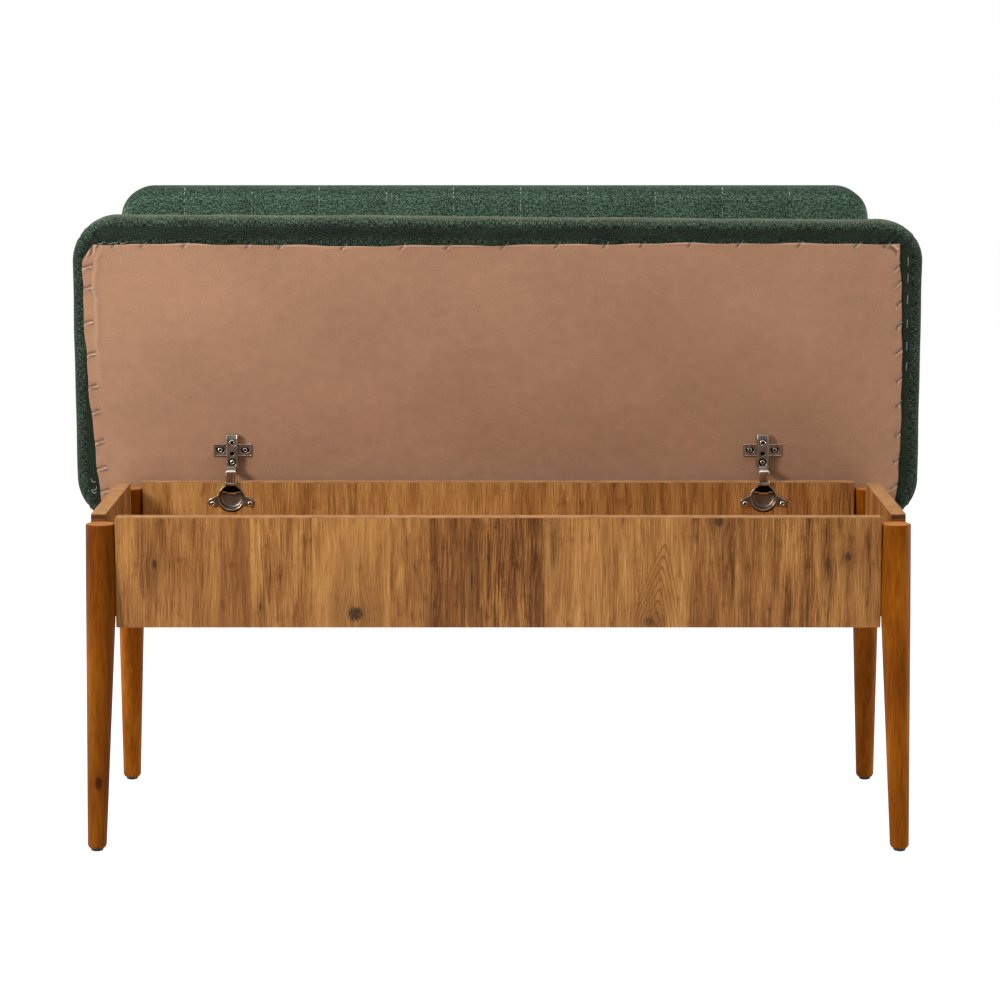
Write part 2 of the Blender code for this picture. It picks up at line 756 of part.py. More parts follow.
def build_lid_hinges():
    """Mounting plates with a raised spine, and the channel-shaped arms clamped over them."""
    front = -CLEARANCE
    arm_middle = ARM_START + ARM_LENGTH / 2
    arm_height = ARM_RISE - ARM_FOOT
    arm_y = arm_height / 2 - ARM_RISE
    for label, side in SIDES:
        x = side * HINGE_X
        name = label + "_hinge_plate"
        wing_size = (PLATE_WIDTH, PLATE_THICKNESS, PLATE_HEIGHT)
        mesh = box_mesh(name, wing_size, (x, front - PLATE_THICKNESS / 2, PLATE_RISE))
        plate = add_part(name, mesh, STEEL, parent=lid_face)
        spine_size = (SPINE_WIDTH, SPINE_RISE, ARM_LENGTH - 2 * ARM_WALL)
        spine = box_mesh(name + "_spine", spine_size, (x, front - SPINE_RISE / 2, arm_middle))
        combine(plate, add_cutter(name + "_spine", spine, lid_face), "UNION")
        drill(plate, name + "_wing_holes", wing_screw_holes(-2 * PLATE_THICKNESS, PLATE_THICKNESS), lid_face)

        name = label + "_hinge_arm"
        mesh = box_mesh(name, (ARM_WIDTH, arm_height, ARM_LENGTH), (x, arm_y, arm_middle))
        arm = add_part(name, mesh, STEEL, parent=lid_face)
        soften(arm, ARM_WALL / 2)
        channel_size = (ARM_WIDTH - 2 * ARM_WALL, arm_height, ARM_LENGTH + 2 * ARM_WALL)
        channel = box_mesh(name + "_channel", channel_size, (x, arm_y + ARM_WALL, arm_middle))
        combine(arm, add_cutter(name + "_channel", channel, lid_face), "DIFFERENCE")
        nose_size = (NOSE_WIDTH, NOSE_REACH + NOSE_SINK, NOSE_HEIGHT)
        nose_y = -ARM_RISE - (NOSE_REACH - NOSE_SINK) / 2
        nose_z = ARM_START - NOSE_DROP + NOSE_HEIGHT / 2
        nose = box_mesh(name + "_nose", nose_size, (x, nose_y, nose_z))
        combine(arm, add_cutter(name + "_nose", nose, lid_face), "UNION")

        arm_holes, plate_holes = [], []
        for way, rise in ARM_SCREWS:
            middle = Vector((x, 0, rise))
            depth = Vector((0, ARM_RISE, 0))
            radius = ARM_SCREW_RADIUS + CLEARANCE
            arm_holes.append((middle - 2 * depth, middle, radius))
            plate_holes.append((middle - depth, middle + depth, radius))
            place = (x, -ARM_RISE - CLEARANCE, rise)
            shank = (ARM_SCREW_RADIUS, ARM_RISE - PLATE_THICKNESS)
            head = (ARM_SCREW_HEAD, SCREW_HEAD_HEIGHT)
            add_screw(f"{label}_{way}_screw", place, (0, -1, 0), shank, head, lid_face)
        eye = Vector((x, 0, ARM_HOLE))
        arm_holes.append((eye - 2 * depth, eye, ARM_SCREW_RADIUS))
        drill(arm, name + "_holes", arm_holes, lid_face)
        drill(plate, name + "_thread_holes", plate_holes, lid_face)

    for name, place in wing_screw_places().items():
        place.y = front - PLATE_THICKNESS - CLEARANCE
        shank = (WING_SCREW_RADIUS, WING_SCREW_LENGTH)
        head = (WING_SCREW_HEAD, SCREW_HEAD_HEIGHT)
        add_screw(name, place, (0, -1, 0), shank, head, lid_face)


def build_box_hinges():
    """Cups in the back panel, with an eared flange, two screws and the pin that the link turns on."""
    flange_front = INNER_Y - CLEARANCE - FLANGE
    flange_middle = flange_front + FLANGE / 2
    outer = CUP_RADIUS - CLEARANCE
    inner = outer - CUP_WALL
    for label, side in SIDES:
        x = LID_SHIFT + side * HINGE_X
        name = label + "_hinge_cup"

        def across(radius, start, finish, dx=0.0, drop=0.0):
            return ((x + dx, start, CUP_Z - drop), (x + dx, finish, CUP_Z - drop), radius)

        body = [across(outer, flange_middle, INNER_Y + CUP_DEPTH)]
        cup = add_part(name, rods_mesh(name, body, CUP_SIDES), STEEL)
        rim = [across(FLANGE_RADIUS, flange_front, INNER_Y - CLEARANCE)]
        combine(cup, add_cutter(name + "_rim", rods_mesh(name + "_rim", rim, CUP_SIDES)), "UNION")
        ears = [
            across(EAR_RADIUS, flange_front, INNER_Y - CLEARANCE, hand * EAR_SPREAD, EAR_DROP)
            for hand in (-1, 1)
        ]
        combine(cup, add_cutter(name + "_ears", rods_mesh(name + "_ears", ears)), "UNION")
        bridge_size = (2 * EAR_SPREAD, FLANGE, 2 * EAR_RADIUS * EAR_BRIDGE_SHARE)
        bridge = box_mesh(name + "_bridge", bridge_size, (x, flange_middle, CUP_Z - EAR_DROP))
        combine(cup, add_cutter(name + "_bridge", bridge), "UNION")
        hollow = [across(inner, flange_front - BOARD, INNER_Y + CUP_DEPTH - CUP_WALL)]
        drill(cup, name + "_hollow", hollow, sides=CUP_SIDES)
        holes = []
        for way, hand in (("outer", side), ("inner", -side)):
            dx = hand * EAR_SPREAD
            hole = across(CUP_SCREW_RADIUS + CLEARANCE, INNER_Y - BOARD, INNER_Y + BOARD, dx, EAR_DROP)
            holes.append(hole)
            place = (x + dx, flange_front - CLEARANCE, CUP_Z - EAR_DROP)
            shank = (CUP_SCREW_RADIUS, CUP_SCREW_LENGTH)
            head = (CUP_SCREW_HEAD, SCREW_HEAD_HEIGHT)
            add_screw(f"{label}_cup_screw_{way}", place, (0, -1, 0), shank, head)
        drill(cup, name + "_screw_holes", holes)

        reach = math.sqrt(inner**2 - (PIN_Z + PIN_RADIUS - CUP_Z) ** 2) - PIN_END_GAP
        pin = [((x - reach, PIN_Y, PIN_Z), (x + reach, PIN_Y, PIN_Z), PIN_RADIUS)]
        add_part(label + "_hinge_pin", rods_mesh(label + "_hinge_pin", pin), BRIGHT_STEEL)


def build_links():
    """Bent links that turn on the cup pins: each is a bent strip with an eye round its pin."""
    outline = strip_outline([(-y, z) for y, z in LINK_PATH], LINK_THICKNESS)
    for label, side in SIDES:
        name = label + "_hinge_link"
        x = side * HINGE_X
        strip = plate_mesh(name, outline, LINK_WIDTH, "X")
        strip.transform(Matrix.Translation((x, 0, 0)))
        link = add_part(name, strip, BRIGHT_STEEL, parent=link_axis)
        half = LINK_WIDTH / 2
        eye = [((x - half, 0, 0), (x + half, 0, 0), LINK_EYE)]
        combine(link, add_cutter(name + "_eye", rods_mesh(name + "_eye", eye), link_axis), "UNION")
        hole = [((x - LINK_WIDTH, 0, 0), (x + LINK_WIDTH, 0, 0), PIN_RADIUS + CLEARANCE)]
        drill(link, name + "_hole", hole, link_axis)


def channel_groove(x):
    """How deep the sewn channels leave the quilted face at x: nothing on a pipe's crest, all on a seam."""
    phase = (x - FIRST_CHANNEL) / CHANNEL_PITCH
    return CHANNEL_DEPTH * (1 - abs(math.sin(math.pi * phase)) ** CHANNEL_FULLNESS)


def back_ring(x, skin):
    """Section of the backrest at x: round the front face from its foot to its head, then down the rear.

    The skin draws it in on every side. Towards each end the height follows the outline's corner arc, and the
    front face rounds back to the side.
    """
    half_width = BACKREST_WIDTH / 2
    past_corner = max(0.0, abs(x) - half_width + BACKREST_CORNER)
    past_edge = max(0.0, abs(x) - half_width + BACKREST_EDGE)
    corner = math.sqrt(max(0.0, (BACKREST_CORNER - skin) ** 2 - past_corner**2))
    half_height = BACKREST_HALF_HEIGHT - BACKREST_CORNER + corner
    edge = BACKREST_EDGE - skin
    face = BACKREST_FRONT + BACKREST_EDGE - math.sqrt(max(0.0, edge**2 - past_edge**2))
    points = []
    for angle in EDGE_ANGLES:
        y = face + edge * (1 - math.sin(angle))
        points.append((x, y, BACKREST_MID_Z - half_height + edge * (1 - math.cos(angle))))
    groove = channel_groove(x)
    for share in BACK_FACE_SHARES:
        fade = 1 - share**CHANNEL_FADE
        points.append((x, face + groove * fade, BACKREST_MID_Z + share * (half_height - edge)))
    for angle in EDGE_ANGLES[::-1]:
        y = face + edge * (1 - math.sin(angle))
        points.append((x, y, BACKREST_MID_Z + half_height - edge * (1 - math.cos(angle))))
    rear = BACKREST_REAR - skin
    points.append((x, rear, BACKREST_MID_Z + half_height))
    points.append((x, rear, BACKREST_MID_Z - half_height))
    return np.array(points)


def back_stations(skin):
    """Places across the width: some near each end, then the seams and three places between each pair."""
    half_width = BACKREST_WIDTH / 2 - skin
    seams = FIRST_CHANNEL + CHANNEL_PITCH * np.arange(-CHANNEL_MARGIN, CHANNEL_COUNT + CHANNEL_MARGIN)
    places = (seams[:, None] + CHANNEL_PITCH * np.array(CHANNEL_SHARES)).ravel()
    inner = places[np.abs(places) < half_width - BACKREST_CORNER * BACK_END_ZONE]
    ends = half_width - BACKREST_CORNER * np.array(BACK_END_SHARES)
    return sorted([*inner.tolist(), *ends.tolist(), *(-ends).tolist()])


def back_form(name, skin):
    return loft_mesh(name, [back_ring(x, skin) for x in back_stations(skin)])


def back_plate(name, inset, start, finish):
    """Flat rounded plate of the backrest's outline, drawn in by the inset, between two places along y."""
    outline = rounded_outline(
        BACKREST_WIDTH / 2 - inset, BACKREST_HALF_HEIGHT - inset, BACKREST_CORNER - inset
    )
    rings = [
        np.column_stack((outline[:, 0], np.full(len(outline), y), outline[:, 1] + BACKREST_MID_Z))
        for y in (start, finish)
    ]
    return loft_mesh(name, rings)


def build_backrest():
    middle = make_empty("backrest_middle", (BACKREST_SHIFT, 0, 0), bench)
    cover = add_part("backrest_cover", back_form("backrest_cover", 0.0), GREEN_CLOTH, parent=middle)
    inside = add_cutter("back_cover_inside", back_form("back_cover_inside", COVER), middle)
    combine(cover, inside, "DIFFERENCE")
    opening = back_plate(
        "back_cover_opening", COVER_TURN_IN, BACKREST_REAR - 2 * COVER, BACKREST_REAR + COVER
    )
    combine(cover, add_cutter("back_cover_opening", opening, middle), "DIFFERENCE")

    skin = COVER + CLEARANCE
    foam = add_part("backrest_foam", back_form("backrest_foam", skin), FOAM, parent=middle)
    board_front = BACK_BOARD_REAR - BACKREST_BOARD
    space = back_plate(
        "back_board_space",
        BACKREST_BOARD_INSET - CLEARANCE,
        board_front - CLEARANCE,
        BACKREST_REAR + COVER,
    )
    combine(foam, add_cutter("back_board_space", space, middle), "DIFFERENCE")

    mesh = back_plate("backrest_board", BACKREST_BOARD_INSET, board_front, BACK_BOARD_REAR)
    board = add_part("backrest_board", mesh, PALE_WOOD, parent=middle)
    pilots = upper_bolt_rods(BACK_BOARD_REAR - UPPER_BOLT_SINK - CLEARANCE, BACKREST_REAR)
    drill(board, "board_bolt_pilots", pilots)

    mesh = back_plate("backrest_lining", BACKREST_EDGE, BACKREST_REAR + CLEARANCE, REAR_LINING_FACE)
    lining = add_part("backrest_lining", mesh, DARK_CLOTH, parent=middle)
    drill(lining, "lining_bolt_holes", upper_bolt_rods(BACKREST_REAR - BOARD, BACKREST_REAR + BOARD))


def upper_bolt_rods(start, finish):
    """Rods on the bolts that hold the backrest, between two places along y, with clearance."""
    radius = BAR_BOLT_RADIUS + CLEARANCE
    return [
        ((side * BAR_X, start, height), (side * BAR_X, finish, height), radius)
        for _, side in SIDES
        for height in UPPER_BOLT_HEIGHTS
    ]


def build_bars():
    """Cranked flat bars: up the back panel, back under the open lid's edge, and up behind the backrest."""
    corners = [
        (BAR_FRONT_Y, BAR_START),
        (BAR_FRONT_Y, BAR_RUN),
        (BAR_REAR_Y, BAR_RUN),
        (BAR_REAR_Y, BAR_END),
    ]
    outline = strip_outline(rounded_path(corners, BAR_BEND + BAR_THICKNESS / 2), BAR_THICKNESS)
    lower_face = BAR_FRONT_Y + BAR_THICKNESS / 2 + CLEARANCE
    upper_face = BAR_REAR_Y + BAR_THICKNESS / 2 + CLEARANCE
    lower_shank = lower_face - BOX_DEPTH / 2 + LOWER_BOLT_SINK
    upper_shank = upper_face - BACK_BOARD_REAR + UPPER_BOLT_SINK
    bolts = [("lower", lower_face, height, lower_shank) for height in LOWER_BOLT_HEIGHTS]
    bolts += [("upper", upper_face, height, upper_shank) for height in UPPER_BOLT_HEIGHTS]
    for label, side in SIDES:
        x = side * BAR_X
        name = label + "_backrest_bar"
        mesh = plate_mesh(name, outline, BAR_WIDTH, "X")
        bar = add_part(name, mesh, BLACK_STEEL, (x, 0, 0))
        holes = []
        for number, (place, face, height, length) in enumerate(bolts, 1):
            start = (x, face - 2 * BAR_THICKNESS, height)
            finish = (x, face + BAR_THICKNESS, height)
            holes.append((start, finish, BAR_BOLT_RADIUS + CLEARANCE))
            shank = (BAR_BOLT_RADIUS, length)
            head = (BAR_BOLT_HEAD_RADIUS, BAR_BOLT_HEAD)
            add_screw(f"{label}_{place}_bolt_{number}", (x, face, height), (0, 1, 0), shank, head)
        drill(bar, name + "_holes", holes)


clear_scene()
parts = make_collection("storage_bench")
cutters = make_collection("cutters")
bench = make_empty("bench_centre", (-LID_SHIFT, CENTRING, 0))
lid_axis = make_empty("lid_axis", (LID_SHIFT, AXIS_Y, AXIS_Z), bench)
lid_face = make_empty("lid_face", (0, LID_SETBACK, LID_RISE), lid_axis)
link_axis = make_empty("link_axis", (LID_SHIFT, PIN_Y, PIN_Z), bench)
build_box()
build_legs()
build_braces()
build_lid()
build_lid_hinges()
build_box_hinges()
build_links()
build_backrest()
build_bars()
print("lid axis: y", round(AXIS_Y + CENTRING, 6), "z", round(AXIS_Z, 6))
print("link axis: y", round(PIN_Y + CENTRING, 6), "z", round(PIN_Z, 6))
print("foot: x", round(leg_centre(0)[0], 6), "y", round(leg_centre(0)[1], 6), "shift", -LID_SHIFT, CENTRING)
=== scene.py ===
"""Looks of a storage dining bench, shown with its upholstered seat lid standing open behind the box."""

import math

import bmesh
import bpy
import numpy as np
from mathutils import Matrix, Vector


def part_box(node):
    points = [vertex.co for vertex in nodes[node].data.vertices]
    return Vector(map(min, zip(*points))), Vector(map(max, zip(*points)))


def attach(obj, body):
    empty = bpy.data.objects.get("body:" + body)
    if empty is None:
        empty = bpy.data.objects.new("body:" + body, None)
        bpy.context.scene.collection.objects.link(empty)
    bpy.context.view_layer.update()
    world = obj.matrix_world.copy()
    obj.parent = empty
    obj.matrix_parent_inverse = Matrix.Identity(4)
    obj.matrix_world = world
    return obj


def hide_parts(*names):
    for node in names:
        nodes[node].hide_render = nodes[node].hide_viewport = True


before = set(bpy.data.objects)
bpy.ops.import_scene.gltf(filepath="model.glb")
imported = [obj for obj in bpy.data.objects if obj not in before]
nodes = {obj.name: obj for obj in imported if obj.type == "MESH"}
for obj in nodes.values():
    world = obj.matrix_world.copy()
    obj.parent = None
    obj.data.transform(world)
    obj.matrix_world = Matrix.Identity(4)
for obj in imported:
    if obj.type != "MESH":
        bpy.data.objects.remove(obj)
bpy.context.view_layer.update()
# All that is left to chance is drawn from here in one order, so every run gives the same bench
chance = np.random.default_rng(7)

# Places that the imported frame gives, in metres
front_low, front_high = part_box("front_panel")
rear_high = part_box("back_panel")[1]
lining_low, lining_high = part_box("seat_lining")
cover_low, cover_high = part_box("seat_cover")
rest_low, rest_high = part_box("backrest_cover")
MIDDLE_Y = (front_low.y + rear_high.y) / 2

# Places on the open lid are given in metres from its middle and from a level line, on the lining's face
FACE_Y = lining_low.y
LINING_RISE = 0.303
LINE_Z = lining_high.z - LINING_RISE

# Thickness of the two linings
FELT = 0.0005


class Wire:
    """One output socket of a finish. Each operator on it adds one Math node."""

    def __init__(self, finish, socket):
        self.finish = finish
        self.socket = socket

    def maths(self, operation, *others):
        values = {0: self, **dict(enumerate(others, 1))}
        return self.finish.add("ShaderNodeMath", {"operation": operation}, values)

    def __add__(self, other):
        return self.maths("ADD", other)

    __radd__ = __add__

    def __mul__(self, other):
        return self.maths("MULTIPLY", other)

    __rmul__ = __mul__

    def __sub__(self, other):
        return self.maths("SUBTRACT", other)

    def __rsub__(self, other):
        return self * -1 + other

    def __truediv__(self, other):
        return self.maths("DIVIDE", other)

    def __pow__(self, other):
        return self.maths("POWER", other)

    def sine(self):
        return self.maths("SINE")

    def step(self, low, high):
        """Smooth step: 0 below low and 1 above high."""
        values = {"Value": self, "From Min": low, "From Max": high}
        return self.finish.add("ShaderNodeMapRange", {"interpolation_type": "SMOOTHSTEP"}, values)


class Finish:
    """A Principled material built from expressions on its object coordinates, in metres."""

    def __init__(self, name):
        self.material = bpy.data.materials.new(name)
        self.material.use_nodes = True
        self.tree = self.material.node_tree
        self.shader = self.tree.nodes["Principled BSDF"]
        self.place = self.add("ShaderNodeTexCoord", {}, {}, "Object")
        self.x, self.y, self.z = (self.add("ShaderNodeSeparateXYZ", {}, {0: self.place}, n) for n in "XYZ")

    def add(self, kind, settings, values, output=0):
        """Adds a node, sets its settings and then its sockets, and gives back one output as a Wire."""
        node = self.tree.nodes.new(kind)
        for name, value in settings.items():
            if name == "stops":
                while len(node.color_ramp.elements) < len(value):
                    node.color_ramp.elements.new(0.5)
                for stop, (place, colour) in zip(node.color_ramp.elements, value):
                    stop.position = place
                    stop.color = colour
            else:
                setattr(node, name, value)
        for key, value in values.items():
            if isinstance(key, int):
                socket = node.inputs[key]
            else:
                found = [s for s in node.inputs if key in (s.identifier, s.name)]
                socket = next((s for s in found if s.enabled), found[0])
            if isinstance(value, Wire):
                self.tree.links.new(value.socket, socket)
            else:
                socket.default_value = value
        if isinstance(output, str):
            return Wire(self, next(s for s in node.outputs if output in (s.identifier, s.name)))
        return Wire(self, node.outputs[output])

    def point(self, x, y, z=0.0):
        return self.add("ShaderNodeCombineXYZ", {}, {0: x, 1: y, 2: z})

    def noise(self, where, scale=1.0, detail=2.0, rough=0.5):
        values = {"Vector": where, "Scale": scale, "Detail": detail, "Roughness": rough}
        return self.add("ShaderNodeTexNoise", {}, values, "Fac")

    def falloff(self, reach):
        """One where the reach is nothing, dying out as it grows."""
        return self.add("ShaderNodeMath", {"operation": "EXPONENT"}, {0: reach * -1.0})

    def blend(self, share, first, second):
        values = {"Factor_Float": share, "A_Color": first, "B_Color": second}
        return self.add("ShaderNodeMix", {"data_type": "RGBA"}, values, "Result_Color")

    def ramp(self, share, *stops):
        """Colour ramp through stops, each a place and a colour given as sRGB numbers from 0 to 255."""
        linear = [(place, srgb(*colour)) for place, colour in stops]
        return self.add("ShaderNodeValToRGB", {"stops": linear}, {0: share})

    def shade(self):
        """The painted shade that the piece holds at each point, where it has one."""
        return self.add("ShaderNodeAttribute", {"attribute_name": "shade"}, {}, "Fac")

    def normal_up(self):
        """How far the face points upwards at rest."""
        normal = self.add("ShaderNodeTexCoord", {}, {}, "Normal")
        return self.add("ShaderNodeSeparateXYZ", {}, {0: normal}, "Z")

    def paint(self, colour, rough, bump=None, depth=0.0, metal=0.0, **fixed):
        """Feeds the shader a colour, a roughness and, where given, a bump as deep as depth, in metres."""
        for name, value in (("Base Color", colour), ("Roughness", rough)):
            if isinstance(value, Wire):
                self.tree.links.new(value.socket, self.shader.inputs[name])
            else:
                self.shader.inputs[name].default_value = value
        self.shader.inputs["Metallic"].default_value = metal
        if bump is not None:
            raised = self.add("ShaderNodeBump", {}, {"Height": bump, "Distance": depth, "Strength": 1.0})
            self.tree.links.new(raised.socket, self.shader.inputs["Normal"])
        for name, value in fixed.items():
            self.shader.inputs[name.replace("_", " ")].default_value = value
        return self.material


def srgb(red, green, blue):
    """Linear colour, with alpha, from sRGB numbers from 0 to 255."""
    share = np.array((red, green, blue)) / 255
    linear = np.where(share <= 0.04045, share / 12.92, ((share + 0.055) / 1.055) ** 2.4)
    return (*linear.tolist(), 1.0)


# The printed boards' tones, how soft a plank's edge is, how strong its tone, and how many planks fill a metre
PINE_TONES = (
    (0.22, (78, 42, 14)), (0.38, (119, 72, 32)), (0.52, (151, 100, 51)), (0.66, (177, 124, 66)),
    (0.80, (200, 150, 88)),
)
PLANK_EDGE = 0.0013
PLANK_TONE = 1.3
EVEN_PLANKS = 11.5
# Heights between which the strip along the boards' top edge sets in
STRIP_FOOT = (front_high.z - 0.0016, front_high.z - 0.0011)


def board_finish(name, across, along, planks=(), knots=(), arches=(), banded=True):
    """Printed planks of knotty wood, with the grain along one axis of the face.

    A plank is its near edge, the change of its tone and the change of its contrast. Without any, the
    planks are of even width and each has a tone of its own. Inside a plank the streaks wander, part round
    the knots, and are crossed by darker blotches and short dark dashes. A knot is its place across and
    along, its half width, its half height and its strength, and dark streaks run on above and below it. An
    arch is the middle, the half width and the top of a nest of pointed rings that leans a little. A banded
    board has a plainer edge strip along its top.
    """
    f = Finish(name)
    u = getattr(f, across)
    v = getattr(f, along)
    wander = f.noise(f.point(u * 11, v * 6, 4.0), detail=2.0) - 0.5
    own, contrast = 0.505, 0.52
    if planks:
        swayed = u + wander * 0.003
        for edge, tone, streak in planks:
            past = swayed.step(edge - PLANK_EDGE, edge + PLANK_EDGE)
            own = past * (tone * PLANK_TONE) + own
            contrast = past * streak + contrast
    else:
        plank = (u * EVEN_PLANKS + wander * 0.5).maths("FLOOR")
        own = f.add("ShaderNodeTexWhiteNoise", {"noise_dimensions": "1D"}, {"W": plank}, "Value")
        own = own * 0.16 + 0.45
    bent = u + wander * 0.009
    ragged = f.noise(f.point(u * 420, v * 200, 6.0), detail=3.0) - 0.5
    core, halo, trail = 0.0, 0.0, 0.0
    for place_u, place_v, wide, tall, strength in knots:
        du = (u - place_u) / wide
        dv = (v - place_v) / tall
        reach = du * du + dv * dv
        bent = bent - (u - place_u) * f.falloff(reach * 0.16) * 0.7
        core = (1 - (reach + ragged * 2.4).step(0.1, 1.6)) * strength + core
        halo = f.falloff(reach * 0.13) * strength + halo
        trail = f.falloff(du * du * 0.20 + dv * dv * 0.022) * strength + trail
    fine = f.noise(f.point(bent * 1050, v * 26, own * 40), detail=2.0, rough=0.7)
    middle = f.noise(f.point(bent * 400, v * 11, own * 30), detail=2.0)
    broad = f.noise(f.point(bent * 66, v * 7, own * 20), detail=3.0)
    figure = f.noise(f.point(bent * 26, v * 3.4, own * 12), detail=1.0)
    lines = (figure * 80).sine().step(0.80, 1.0)
    grain = f.noise(f.point(u * 1300, v * 1200, 3.0), detail=2.0, rough=0.8)
    blotch = f.noise(f.point(u * 75, v * 42, 8.0), detail=4.0, rough=0.7).step(0.52, 0.74)
    dashes = f.noise(f.point(bent * 1100, v * 60, 2.0), detail=2.0).step(0.58, 0.70)
    streaks = broad * 1.10 + middle * 0.45 + fine * 1.45 - lines * 0.05 - 1.48
    tone = own + streaks * contrast + grain * 1.05 - 0.545 - blotch * contrast * 0.22
    colour = f.ramp(tone, *PINE_TONES)
    colour = f.blend(dashes * contrast * 0.6, colour, srgb(88, 52, 20))
    for place_u, wide, top in arches:
        du = u - place_u - (v - top) * 0.12
        level = v + (du * du + 0.000009) ** 0.5 * 3.2 - 0.0096 + (broad - 0.5) * 0.016
        inside = f.falloff((du / wide * (du / wide)) ** 2) * (1 - level.step(top - 0.001, top + 0.001))
        line = (level * 450).sine().step(0.35, 0.95) * inside
        colour = f.blend(line * 0.80, colour, srgb(122, 72, 24))
    if knots:
        colour = f.blend(trail * middle.step(0.36, 0.62) * 0.62, colour, srgb(84, 50, 20))
        colour = f.blend(halo * 0.45, colour, srgb(104, 64, 30))
        colour = f.blend(core * 0.95, colour, srgb(58, 37, 23))
    if banded:
        strip = f.normal_up().step(0.6, 0.9).maths("MAXIMUM", f.z.step(*STRIP_FOOT))
        strip_grain = f.noise(f.point(f.x * 90, f.y * 90, f.z * 9), detail=3.0)
        strip_colour = f.ramp(strip_grain, (0.30, (132, 92, 56)), (0.70, (158, 116, 76)))
        colour = f.blend(strip, colour, strip_colour)
    relief = fine * 0.6 + dashes * -0.4
    return f.paint(colour, 0.42 + middle * 0.16, relief, 0.00012, Specular_IOR_Level=0.15)


def turned_wood_finish(name):
    """Stained solid wood: long fine fibres, slow shifts of tone, short rays and a knot low on one leg."""
    f = Finish(name)
    swing = f.noise(f.point(f.x * 14, f.y * 14, f.z * 5), detail=1.0) - 0.5
    fibre = f.noise(f.point(f.x * 420 + swing * 9, f.y * 420, f.z * 8), detail=3.0)
    slow = f.noise(f.point(f.x * 34, f.y * 34, f.z * 6), detail=2.0)
    rays = f.noise(f.point(f.x * 800, f.y * 800, f.z * 90), detail=1.0).step(0.60, 0.72)
    tone = fibre * 0.5 + slow * 0.7 - 0.10
    colour = f.ramp(tone, (0.30, (94, 44, 3)), (0.50, (128, 68, 6)), (0.72, (160, 92, 18)))
    colour = f.blend(rays * 0.22, colour, srgb(70, 32, 5))
    knot_x, knot_z, knot_wide, knot_tall = -0.4765, 0.083, 0.006, 0.010
    du = (f.x - knot_x) / knot_wide
    dv = (f.z - knot_z) / knot_tall
    # The front left leg alone has the knot and is darker
    near = (1 - f.x.step(-0.2, 0.2)) * (1 - f.y.step(-0.12, 0.0))
    reach = (du * du + dv * dv) + (fibre - 0.5) * 1.2
    colour = f.blend(f.falloff(reach * 0.35) * near * 0.45, colour, srgb(84, 40, 10))
    colour = f.blend((1 - reach.step(0.15, 0.9)) * near * 0.85, colour, srgb(44, 22, 8))
    colour = f.blend(near * 0.36, colour, srgb(62, 26, 2))
    # Painted light: each leg's upward-facing top end is painted paler, standing in for the light from above
    end = f.normal_up().step(0.7, 0.95)
    colour = f.blend(end * 0.70, colour, srgb(168, 112, 66))
    return f.paint(colour, 0.36 + fibre * 0.14, fibre, 0.00010, Specular_IOR_Level=0.04)


def plain_wood_finish(name, tone):
    """Sawn wood with straight grain, for braces and hidden boards, and pale fibre for the threads."""
    f = Finish(name)
    grain = f.noise(f.point(f.x * 40, f.y * 160, f.z * 300), detail=3.0)
    specks = f.noise(f.place, 900, 2.0)
    low = tuple(c * 0.80 for c in tone)
    colour = f.ramp(grain * 0.7 + specks * 0.3, (0.35, low), (0.65, tone))
    return f.paint(colour, 0.72, grain, 0.0002)


def cloth_coordinates(f):
    """The piece's own map, in millimetres of cloth: across the cloth and along it."""
    spot = f.add("ShaderNodeUVMap", {"uv_map": "cloth"}, {})
    u, v = (f.add("ShaderNodeSeparateXYZ", {}, {0: spot}, n) for n in "XY")
    return u * 1000, v * 1000


def woven_finish(name, pitch, dark, middle, light, slub, drawn, fuzz, nap, lit, crease_shaded=False):
    """Plain weave: crossed threads of the pitch in millimetres, with slubs that run along each set.

    Dark, middle and light are its tones. Drawn is how much longer the slubs are along the cloth than
    across it. Fuzz is the share of single flecks, and nap is the pale fibre that shows at grazing angles.
    Lit scales the colour of the upward faces. Above one it paints them lighter, as painted light, and below
    one darker, as painted shade. Above one a faint pale painted highlight is also laid on the topmost faces.
    Where asked, painted shade darkens the cloth in its pleats.
    """
    f = Finish(name)
    u, v = cloth_coordinates(f)
    turn = math.pi / pitch
    crossing = (u * turn).sine() * (v * turn).sine()
    warp = f.noise(f.point(u / pitch, v / (slub * drawn)), detail=1.0)
    weft = f.noise(f.point(u / (slub * 2), v / pitch, 3.0), detail=1.0)
    speck = f.noise(f.point(u / (pitch * 1.7), v / (pitch * 0.62), 7.0), detail=3.0, rough=0.7)
    cloud = f.noise(f.point(u / 60, v / 60, 11.0), detail=2.0)
    tone = warp * 0.58 + weft * 0.34 + speck * fuzz + cloud * 0.10 - fuzz * 0.5 - 0.01 + crossing * 0.05
    colour = f.ramp(tone, (0.36, dark), (0.50, middle), (0.64, light))
    # Painted light on the upward faces where lit is above one, painted shade where it is below one
    painted_light_gain = f.normal_up().step(0.10, 0.55) * (lit - 1) + 1
    # Painted highlight: where lit is above one, a faint pale tint on the topmost faces
    if lit > 1:
        colour = f.blend(f.normal_up().step(0.60, 0.98) * 0.07, colour, srgb(150, 138, 118))
    # Painted shade in the pleats, read from the piece's shade
    if crease_shaded:
        painted_light_gain = painted_light_gain * (1 - f.shade() * 0.65)
    colour = f.add("ShaderNodeVectorMath", {"operation": "SCALE"}, {0: colour, "Scale": painted_light_gain})
    relief = crossing * 0.5 + warp * 0.5 + weft * 0.5 + speck * 0.5
    sheen = {"Sheen_Weight": nap, "Sheen_Roughness": 0.35, "Sheen_Tint": srgb(176, 196, 168)}
    return f.paint(colour, 0.95, relief, 0.00036, Specular_IOR_Level=0.1, **sheen)


